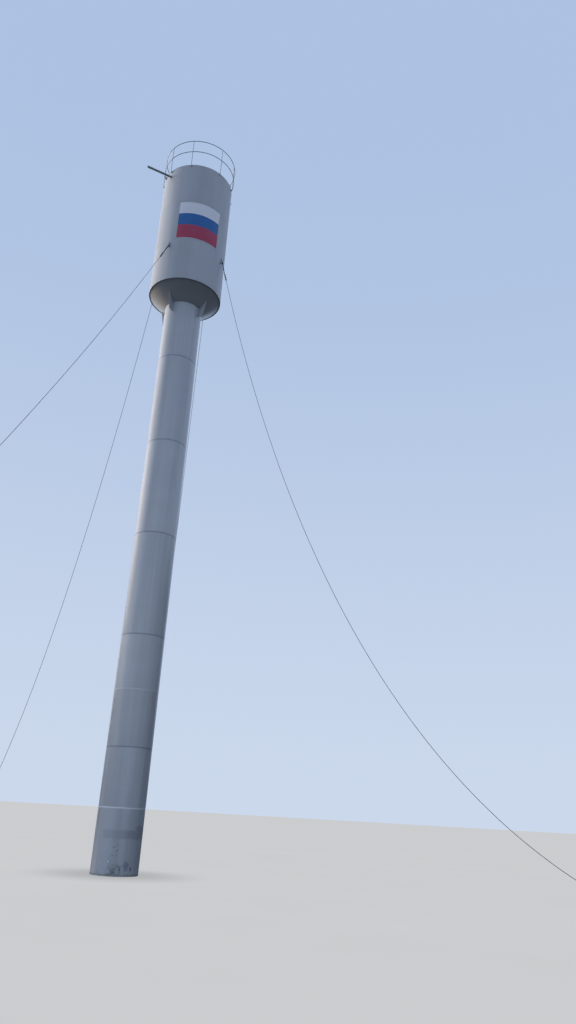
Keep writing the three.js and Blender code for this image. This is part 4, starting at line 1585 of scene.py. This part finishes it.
# %% [markdown]
# Six strands twisted together could be six swept bars, but most of their faces would lie hidden
# inside. One skin does it: its section has a lobe for each strand, and turns a little from each
# ring to the next.

# %% Twist the strands
ROPE_RADIUS = 7 * MM
STRANDS = 6
LAY = 126 * MM  # one full turn of a strand
STEPS_PER_LAY = 9
STEP = LAY / STEPS_PER_LAY
POINTS_PER_STRAND = 3


def stranded_rope(line):
    """A rope whose section has one lobe for each strand, turning as it goes."""
    around = STRANDS * POINTS_PER_STRAND
    angles = TURN * np.arange(around) / around
    off = (angles + math.pi / STRANDS) % (TURN / STRANDS) - math.pi / STRANDS
    centre, strand = ROPE_RADIUS * 2 / 3, ROPE_RADIUS / 3
    lobes = centre * np.cos(off) + np.sqrt(np.clip(strand**2 - (centre * np.sin(off)) ** 2, 0, None))
    along = np.gradient(line, axis=0)
    along /= np.linalg.norm(along, axis=1)[:, None]
    across = np.cross(line[-1] - line[0], (0, 0, 1.0))
    across /= np.linalg.norm(across)
    other = np.cross(along, across)
    twisted = (angles[None, :] + TURN * np.arange(len(line))[:, None] / STEPS_PER_LAY)[..., None]
    directions = np.cos(twisted) * across + np.sin(twisted) * other[:, None, :]
    return skin(line[:, None, :] + lobes[None, :, None] * directions, capped=True)


stay_lines = {corner: smooth_line(middles, STEP) for corner, middles in stay_middles.items()}
for corner, line in stay_lines.items():
    rope = Gathered().add(stranded_rope(line))
    rope.piece(f"stay_rope_{corner}", ROPE_STEEL, "wire_rope", [f"guy_stay_{corner}"])

# %% [markdown]
# ### Turnbuckles
#
# At the top of each stay a turnbuckle tightens it: a jaw pinned to the lug, two screws with
# opposite threads, an open frame that turns on both, and an eye for the rope. It is built along
# +X from its pin, and laid along the line from the lug's hole to the rope.

# %% Shape a turnbuckle
LUG_PLATE = 12 * MM
JAW, NECK, FRAME_LENGTH = 70 * MM, 55 * MM, 230 * MM
EAR_HALF = 17 * MM
EAR_PLATE = 8 * MM
PIN_HOLE = 9.5 * MM
SCREW_RADIUS = 8 * MM
THREAD = 2.5 * MM
EYE_RADIUS = 17 * MM
ALONG_X = spin(90, "Y")


def threaded(length):
    """A screw: a turned bar whose radius goes in and out with each thread."""
    count = int(length / THREAD)
    root = SCREW_RADIUS * 0.84
    profile = [(0, 0)]
    for i in range(count):
        profile += [(root, i * THREAD), (SCREW_RADIUS, (i + 0.5) * THREAD)]
    return turned(profile + [(root, count * THREAD), (0, count * THREAD)], 16)


def jaw(made, spot):
    """Two ears on a block, with the pin through them."""
    side = LUG_PLATE / 2 + 0.5 * MM + EAR_PLATE / 2
    reach = side + EAR_PLATE / 2
    arc = np.linspace(math.pi / 2, -math.pi / 2, 11)
    nose = [(-EAR_HALF * math.cos(a) * 0.9, EAR_HALF * math.sin(a)) for a in arc]
    outline = [(JAW - 4 * MM, EAR_HALF), *nose, (JAW - 4 * MM, -EAR_HALF)]
    ear = cut_plate(outline, EAR_PLATE, [(0, 0, PIN_HOLE)])
    for y in (-side, side):
        made.add(ear, spot @ at(0, y, 0))
    made.add(rounded_box((24 * MM, 2 * reach, 2 * EAR_HALF), 4 * MM, 3), spot @ at(JAW - 12 * MM, 0, 0))
    made.add(bolt(9.3 * MM, 14 * MM, 2 * reach), spot @ at(0, -reach, 0) @ spin(-90, "X"))


print("a screw has", len(threaded(NECK)[1]), "faces")

# %% [markdown]
# The rest is put together along the same line: both screws with their hubs and lock nuts, the
# two bars of the open frame, which bow out in the middle, and the eye. The eye is a bar whose
# line closes on itself.

# %% Put a turnbuckle together


def turnbuckle(spot):
    made = Gathered()
    jaw(made, spot)
    start, end = JAW + NECK, JAW + NECK + FRAME_LENGTH
    hub = turned(mm((0, 0), (11, 0), (14, 4), (14, 20), (11, 26), (0, 26)), 24)
    nut = turned(mm((0, 0), (14, 0), (15, 1), (15, 7), (14, 8), (0, 8)), 6)
    screw = threaded(NECK + 50 * MM)
    for body, places in (
        (screw, (JAW - 2 * MM, end - 48 * MM)),
        (hub, (start, end - 26 * MM)),
        (nut, (start - 9 * MM, end + 1 * MM)),
    ):
        for x in places:
            made.add(body, spot @ at(x, 0, 0) @ ALONG_X)
    half_side = mm((6, 8), (22, 15), (44, 18))  # along from either end, and out from the middle
    for sign in (-1, 1):
        line = [(start + x, sign * y, 0) for x, y in half_side]
        line += [(end - x, sign * y, 0) for x, y in half_side[::-1]]
        made.add(tube(line, [r * MM for r in (9, 9, 8.5, 8.5, 9, 9)], 14), spot)
    eye_middle = end + NECK + 18 * MM
    around = np.linspace(0, TURN, 28, endpoint=False)
    eye = [(eye_middle + EYE_RADIUS * math.cos(a), EYE_RADIUS * math.sin(a), 0) for a in around]
    return made.add(tube(eye, 6 * MM, 12, capped=False), spot)


print("a turnbuckle is", round((JAW + 2 * NECK + FRAME_LENGTH) / MM), "mm long between pin and eye")

# %% [markdown]
# The lugs and anchors come from the solids' own layout. In front, each stay leaves the wall
# straight out. At the back the anchors stand further round, so the lugs there are turned to face
# them. One function gives that frame for the turnbuckles, the lugs and the anchors.

# %% Hang a turnbuckle on each lug
LUG_BEARINGS = dict(zip(CORNERS, (-45, 52.5, 135, -135)))
ANCHOR_BEARINGS = dict(zip(CORNERS, (-45, 52.5, 168, -160.5)))
ANCHOR_OUT = 12.0  # from the tower's axis
PIN_OUT = 50 * MM  # from the tank's wall
PIN_HEIGHT = 18.960


def guy_spot(corner):
    """A frame at the wall beside a lug, with its X towards the anchor.

    Also how far that is, and how far it turns from straight out."""
    wall = polar(TANK_RADIUS, LUG_BEARINGS[corner])
    away = polar(ANCHOR_OUT, ANCHOR_BEARINGS[corner]) - wall
    angle = math.atan2(away.y, away.x)
    slant = (angle - math.atan2(wall.y, wall.x) + math.pi) % TURN - math.pi
    return Matrix.Translation(wall) @ Matrix.Rotation(angle, 4, "Z"), away.length, slant


def laid_along(origin, direction):
    """A frame at a point whose X runs along a direction, with Y level."""
    x = Vector(direction).normalized()
    y = Vector((0, 0, 1)).cross(x).normalized()
    z = x.cross(y)
    return Matrix.Translation(origin) @ Matrix((x, y, z)).transposed().to_4x4()


for corner in CORNERS:
    pin = guy_spot(corner)[0] @ Vector((PIN_OUT, 0, PIN_HEIGHT))
    buckle = turnbuckle(laid_along(pin, Vector(stay_middles[corner][0]) - pin))
    buckle.piece(f"stay_turnbuckle_{corner}", ZINC, "galvanized", [f"turnbuckle_{corner}"])

# %% [markdown]
# The rope's end is turned back through the turnbuckle's eye, and three clips hold the tail beside
# the rope. A clip is a saddle on the live rope and a U-bolt over the tail. The tail is the same
# twisted rope, laid along the stay's own line a rope's width below it.

# %% Clip each rope's tail beside it
CLIP_SPOTS = (0.07, 0.17, 0.27)  # down the rope from its top
CLIP_LEG = 12 * MM
TAIL_LENGTH = 0.35
ROPE_LOOP = mm(
    (8, 0, 0), (-20, 0, 4), (-45, 0, 9), (-63, 0, 4), (-69, 0, -7),
    (-63, 0, -18), (-45, 0, -23), (-20, 0, -18), (8, 0, -14),
)


def moved(body, matrix):
    return Gathered().add(body, matrix).points[0], body[1]


def rope_clip():
    """Bodies round a rope that runs along X, with its tail below it."""
    low = -2 * ROPE_RADIUS
    arc = np.linspace(0, math.pi, 9)
    bend = [(0, -CLIP_LEG * math.cos(a), low - CLIP_LEG * math.sin(a)) for a in arc]
    u_bolt = tube([(0, -CLIP_LEG, 27 * MM), *bend, (0, CLIP_LEG, 27 * MM)], 4.5 * MM, 12)
    saddle = moved(rounded_box((26 * MM, 38 * MM, 13 * MM), 2.5 * MM), at(0, 0, 12 * MM))
    nut = turned(mm((0, 18), (8, 18), (8, 24), (7, 25), (0, 25)), 6)
    return [u_bolt, saddle, *[moved(nut, at(0, y, 0)) for y in (-CLIP_LEG, CLIP_LEG)]]


for corner, line in stay_lines.items():
    head = laid_along(line[0], line[2] - line[0])
    down = np.array(head.to_3x3().col[2]) * -2 * ROPE_RADIUS
    tail = Gathered().add(stranded_rope(line[: int(TAIL_LENGTH / STEP)] + down))
    tail.add(tube(ROPE_LOOP, ROPE_RADIUS, 14), head)
    tail.piece(f"stay_tail_{corner}", ROPE_STEEL, "wire_rope", [])
    clips = Gathered()
    for reach in CLIP_SPOTS:
        k = int(reach / STEP)
        clips.add(rope_clip(), laid_along(line[k], line[k + 1] - line[k]))
    clips.piece(f"stay_clips_{corner}", ZINC, "galvanized", [])

# %% [markdown]
# ### The guy lugs
#
# A lug faces its anchor, which at the back isn't straight out from the wall. Its inner edge is
# then cut at a slant, so that it still lies flat along the plate that it is welded to.

# %% Weld on the guy lugs
LUG_REACH = 79 * MM
LUG_TIP = 86 * MM
LUG_NOSE = 20 * MM
LUG_ROOT = -3 * MM  # just inside the wall
for corner in CORNERS:
    spot, reach, slant = guy_spot(corner)
    low, high = foot_of(f"guy_lug_{corner}"), top_of(f"guy_lug_{corner}")
    nose = [
        (LUG_REACH - LUG_NOSE * (1 - math.sin(a)), low + LUG_NOSE * (1 - math.cos(a)))
        for a in np.linspace(0, math.pi / 2, 6)
    ]
    outline = [(LUG_ROOT, low), *nose, (LUG_REACH, low + LUG_TIP), (26 * MM, high), (LUG_ROOT, high)]
    points, faces = cut_plate(outline, LUG_PLATE, [(PIN_OUT, PIN_HEIGHT, 10 * MM)], 1.2 * MM)
    slanted = [(x + y * math.tan(slant) if x < 0 else x, y, z) for x, y, z in points]
    lug = Gathered().add((slanted, faces), spot)
    for y in (-LUG_PLATE / 2, LUG_PLATE / 2):
        x = LUG_ROOT + 2 * MM + y * math.tan(slant)
        lug.add(fillet((x, y, low + 3 * MM), (x, y, high - 3 * MM), 5 * MM), spot, 0.5)
    lug.piece(f"guy_plate_{corner}", FITTING_PAINT, "fitting_paint", [f"guy_lug_{corner}"])

# %% [markdown]
# ### The anchors
#
# An anchor is a steel pipe that is driven in so that it leans away from the tower, and a socket
# takes the rope's end. A leaning cylinder would do, but its foot would dip below the floor. The
# stake is therefore cut level at its foot and square across at its top, and its rings change
# from one cut to the other on the way up.

# %% Drive in the anchors
STAKE_RADIUS = 30 * MM
STAKE_LEAN = math.radians(30)
STAKE_TOP = 0.330
STAKE_EDGE = 4 * MM
STAKE_BEVEL = 3 * MM
STAKE_SIDES = 32
ANCHOR_HEIGHT = 0.220
SOCKET = mm((0, 0), (10, 0), (12, 6), (12, 60), (15, 70), (15, 118), (0, 118))


def stake_ring(foot_out, height, radius, square):
    """A ring of the leaning pipe, cut square across it or level."""
    reach = radius * math.cos(STAKE_LEAN) if square else radius / math.cos(STAKE_LEAN)
    drop = radius * math.sin(STAKE_LEAN) if square else 0.0
    middle = foot_out + height * math.tan(STAKE_LEAN)
    ring = []
    for a in [TURN * j / STAKE_SIDES for j in range(STAKE_SIDES)]:
        ring.append((middle + reach * math.cos(a), radius * math.sin(a), height - drop * math.cos(a)))
    return ring


for corner in CORNERS:
    spot, distance, slant = guy_spot(corner)
    foot_out = distance - ANCHOR_HEIGHT * math.tan(STAKE_LEAN)
    rings = [stake_ring(foot_out, height, STAKE_RADIUS, False) for height in (0.0, 0.05, 0.15, 0.25)]
    rings.append(stake_ring(foot_out, STAKE_TOP - STAKE_EDGE, STAKE_RADIUS, True))
    rings.append(stake_ring(foot_out, STAKE_TOP, STAKE_RADIUS - STAKE_BEVEL, True))
    stake = Gathered().add(skin(rings, capped=True), spot)
    anchor_eye = spot @ Vector((distance, 0, ANCHOR_HEIGHT))
    rope_end = Vector(stay_middles[corner][-1])
    stake.add(turned(SOCKET, 24), laid_along(rope_end, anchor_eye - rope_end) @ ALONG_X)
    stake.piece(f"anchor_stake_{corner}", STAKE_RUST, "galvanized", [f"guy_anchor_{corner}"])

# %% [markdown]
# ## The foot plate
#
# A plate closes the column at its foot. It is the dirtiest part of the tower, and shares the
# column's finish, whose splashed earth is thickest there.

# %% Turn the foot plate
FOOT_EDGE = 2 * MM
foot_top = top_of("foot_plate")
foot_profile = [
    (0, 0), (COLUMN_RADIUS - FOOT_EDGE, 0), (COLUMN_RADIUS, FOOT_EDGE),
    (COLUMN_RADIUS, foot_top - FOOT_EDGE), (COLUMN_RADIUS - FOOT_EDGE, foot_top), (0, foot_top),
]
foot = Gathered().add(turned(foot_profile, 144))
foot.piece("foot_disc", COLUMN_PAINT, "column_paint", ["foot_plate"], {"touch_up_and_highlight": np.zeros(foot.count)})

# %% [markdown]
# ## The stage
#
# The tower stands on a plain pale floor. A floor that took its light from the lamps would show the shadows
# of every screen in the studio, and throw light up under the tank, which is dark in the photograph. So the
# floor glows evenly by itself, no lamp reaches it, and a soft painted shadow, a darker round at the column
# and at each anchor, sets the tower down on it.

# %% Lay the floor
FLOOR_RADIUS = 700
FLOOR_GREY = (0.600, 0.606, 0.622, 1)
PAINTED_SHADOW_GREY = (0.10, 0.10, 0.11, 1)
FOOT_SHADE = (2.6, 0.30)  # how far it reaches, and how strong it is
STAKE_SHADE = (0.25, 0.45)


def stage_sheet(name, corners, faces, material):
    """A flat thing of the studio's, which isn't part of the tower."""
    mesh = bpy.data.meshes.new(name)
    mesh.from_pydata([tuple(p) for p in corners], [], faces)
    mesh.materials.append(material)
    sheet = bpy.data.objects.new(name, mesh)
    bpy.context.scene.collection.objects.link(sheet)
    return sheet


def floor_finish():
    f = Finish("pale_floor", Emission_Strength=1.0, Specular_IOR_Level=0.0)
    cloud = f.noise(f.place, 0.3)
    f.colour = f.blend(cloud, shade(FLOOR_GREY, 0.97), shade(FLOOR_GREY, 1.03))
    # painted shadow: darker rounds on the floor at the column's foot and at each anchor
    reach, strength = FOOT_SHADE
    f.lay(PAINTED_SHADOW_GREY, near(f, Vector(), reach, soft=0.2), strength)
    reach, strength = STAKE_SHADE
    for bearing in ANCHOR_BEARINGS.values():
        stake_foot = polar(ANCHOR_OUT - 0.13, bearing)
        f.lay(PAINTED_SHADOW_GREY, near(f, stake_foot, reach, soft=0.1), strength)
    f.feed(f.shader.inputs["Emission Color"], f.colour)
    f.colour = (0, 0, 0, 1)
    return f.done(f.between(cloud, 0.75, 0.9))


rim = [polar(FLOOR_RADIUS, bearing) for bearing in range(0, 360, 5)]
floor = stage_sheet("floor", rim, [tuple(range(len(rim)))], floor_finish())
floor.visible_diffuse = False
floor.visible_glossy = False
print("floor", FLOOR_RADIUS * 2, "m wide")

# %% [markdown]
# ## The dome
#
# In the photograph a low sun, behind the camera and to its left, lights the left of the plate,
# and the front has only the blue light of the open sky. The world is therefore a soft blue dome,
# dark below, a little brighter on the sun's side and hazy about the sun. The haze, rather than the
# sun itself, is what the enamel mirrors as a broad sheen. The camera alone sees a plain pale
# backdrop instead of all this.

# %% Hang the dome and the backdrop
SUN_BEARING = -131
SUN_HEIGHT = 16.8  # degrees above the horizon
SUN_TONE = (1.0, 0.88, 0.76)
HAZE = 2.7  # how bright the dome is at the sun
HAZE_FALL = 12.0  # how fast that falls away beside it
SUNNY_SIDE = 0.10
SKY_LIGHT = (0.60, 0.735, 1.03, 1)
UNDER_LIGHT = (0.038, 0.054, 0.080, 1)
HORIZON = (-0.02, 0.14)  # upward shares between which the dark turns to sky
BACKDROP_LOW = (0.60, 0.69, 0.84, 1)
BACKDROP_HIGH = (0.42, 0.54, 0.76, 1)
BACKDROP_RISE = (-0.05, 0.75)

sun_rise = math.radians(SUN_HEIGHT)
towards_sun = polar(math.cos(sun_rise), SUN_BEARING, math.sin(sun_rise))
world = bpy.data.worlds.new("pale_studio")
bpy.context.scene.world = world
world.use_nodes = True
sky = Wiring(world.node_tree)
direction = sky.node("ShaderNodeTexCoord").outputs["Generated"]
upward = sky.parts(direction)[2]
sunny = sky.vector("DOT_PRODUCT", direction, tuple(towards_sun))
brighter = sky.plus(sky.times(sunny, SUNNY_SIDE), 1.0)
haze = sky.times(sky.math("POWER", sky.larger(sunny, 0.0), HAZE_FALL), HAZE)
dome = sky.blend(sky.step(upward, *HORIZON), UNDER_LIGHT, SKY_LIGHT)
light = sky.vector("ADD", sky.scaled(dome, brighter), sky.scaled(SUN_TONE, haze))
backdrop = sky.blend(sky.step(upward, *BACKDROP_RISE), BACKDROP_LOW, BACKDROP_HIGH)
seen = sky.node("ShaderNodeLightPath").outputs["Is Camera Ray"]
sky.feed(world.node_tree.nodes["Background"].inputs[0], sky.blend(seen, light, backdrop))
bpy.context.scene.view_settings.view_transform = "Standard"
print("dome with haze at bearing", SUN_BEARING, "and", SUN_HEIGHT, "degrees up")

# %% [markdown]
# ## The lamps
#
# The sun is broad, for soft shadows, and isn't mirrored, because the haze is. Thin rails need a
# hard glint to show against the pale backdrop, so a second sun lights only them, and only by its
# reflection. A weak fill lamp low at the left front opens up the column's foot. Light linking
# lists what each lamp reaches or spares.

# %% Set the lamps
SUN_STRENGTH = 2.42
SUN_BREADTH = math.radians(8)
GLINT_STRENGTH = 8.0
FILL_BEARING = -28
FILL_DISTANCE = 7.5
FILL_HEIGHT = 5.5
FILL_STRENGTH = 65.0
FILL_TONE = (0.90, 0.95, 1.00)
FILL_SIZE = (3.0, 4.0)


def lamp(name, kind, strength, tone, source):
    """A lamp that shines from the direction of its source."""
    data = bpy.data.lights.new(name, kind)
    data.energy = strength
    data.color = tone
    made = bpy.data.objects.new(name, data)
    bpy.context.scene.collection.objects.link(made)
    made.rotation_mode = "QUATERNION"
    made.rotation_quaternion = source.to_track_quat("Z", "Y")
    return made


def link_light(source, label, things, state):
    """Lets a lamp reach only the things, or all but them."""
    group = bpy.data.collections.new(label)
    for thing in things:
        group.objects.link(thing)
    for member in group.collection_objects:
        member.light_linking.link_state = state
    source.light_linking.receiver_collection = group


sun = lamp("low_sun", "SUN", SUN_STRENGTH, SUN_TONE, towards_sun)
sun.data.angle = SUN_BREADTH
sun.visible_glossy = False
link_light(sun, "not_lit_by_the_sun", [floor], "EXCLUDE")
glint = lamp("glint", "SUN", GLINT_STRENGTH, SUN_TONE, towards_sun)
glint.data.angle = SUN_BREADTH
glint.visible_diffuse = False
link_light(glint, "lit_by_the_glint", [bpy.data.objects["roof_railing"]], "INCLUDE")
fill = lamp("fill_lamp", "AREA", FILL_STRENGTH, FILL_TONE, polar(1, FILL_BEARING))
fill.data.shape = "RECTANGLE"
fill.data.size, fill.data.size_y = FILL_SIZE
fill.location = polar(FILL_DISTANCE, FILL_BEARING, FILL_HEIGHT)
fill.visible_camera = False
fill.visible_glossy = False
link_light(fill, "not_lit_by_the_fill", [floor, bpy.data.objects["bottom_cone"]], "EXCLUDE")
print("lamps:", ", ".join(made.name for made in (sun, glint, fill)))

# %% [markdown]
# ## The screens
#
# Light is also shaped by what keeps it away. A tall black screen at the right, which the camera
# doesn't see, takes the sky's light off the column's right side. A flag, as a studio calls a plain
# black screen before a lamp, keeps the sun off the column's foot. Above its edge it goes on as a
# comb of narrow strips, whose shadows blur together, so the sun comes in by degrees up the column.

# %% Put up the side screen
SCREEN_SIDE = 11  # to the right of the tower, seen from the camera
SCREEN_HEIGHT = 11
SCREEN_DEPTHS = (-9, 10)  # along the camera's bearing, measured from the tower
CLOTH_TONES = ((0.010, 0.011, 0.010, 1), (0.020, 0.022, 0.019, 1))


def cloth_finish():
    f = Finish("black_cloth")
    f.colour = f.blend(f.noise(f.place, 20.0, detail=2.0), *CLOTH_TONES)
    return f.done(0.95)


BLACK_CLOTH = cloth_finish()
rightward = polar(1, CAMERA_BEARING + 90)
backward = -polar(1, CAMERA_BEARING)
feet = [rightward * SCREEN_SIDE + backward * depth for depth in SCREEN_DEPTHS]
heads = [p + Vector((0, 0, SCREEN_HEIGHT)) for p in feet[::-1]]
screen = stage_sheet("side_screen", feet + heads, [(0, 1, 2, 3)], BLACK_CLOTH)
screen.visible_camera = False
print("side screen", SCREEN_HEIGHT, "m high")

# %% [markdown]
# The flag stands well away from the tower on the sun's side, so its height follows from where its
# edge should fall on the column and from how steeply the sun comes down.

# %% Put up the flag and its comb
FLAG_DISTANCE = 25
FLAG_HALF = 12
SHADE_HEIGHT = 3.7  # where the flag's edge falls on the column
COMB_HEIGHT = 8.6  # and where the comb's ends fall
TOOTH, GAP = 0.5, 1.0

flag_base = FLAG_DISTANCE * math.tan(sun_rise)
flag_top = SHADE_HEIGHT + flag_base
strips = [(-FLAG_HALF, FLAG_HALF, 0, flag_top)]
for k in range(int(2 * FLAG_HALF / (TOOTH + GAP))):
    tooth_left = -FLAG_HALF + k * (TOOTH + GAP)
    strips.append((tooth_left, tooth_left + TOOTH, flag_top, COMB_HEIGHT + flag_base))
flag_across = polar(1, SUN_BEARING + 90)
flag_middle = polar(FLAG_DISTANCE, SUN_BEARING)
flag_corners = []
for left, right, low, high in strips:
    for x, z in ((left, low), (right, low), (right, high), (left, high)):
        flag_corners.append(flag_middle + flag_across * x + Vector((0, 0, z)))
flag_faces = [tuple(range(4 * k, 4 * k + 4)) for k in range(len(strips))]
flag = stage_sheet("flag", flag_corners, flag_faces, BLACK_CLOTH)
flag.visible_camera = False
print("flag", round(flag_top, 1), "m high, with", len(strips) - 1, "teeth")

# %% [markdown]
# The dressed tower has to stay inside the box of its solids.
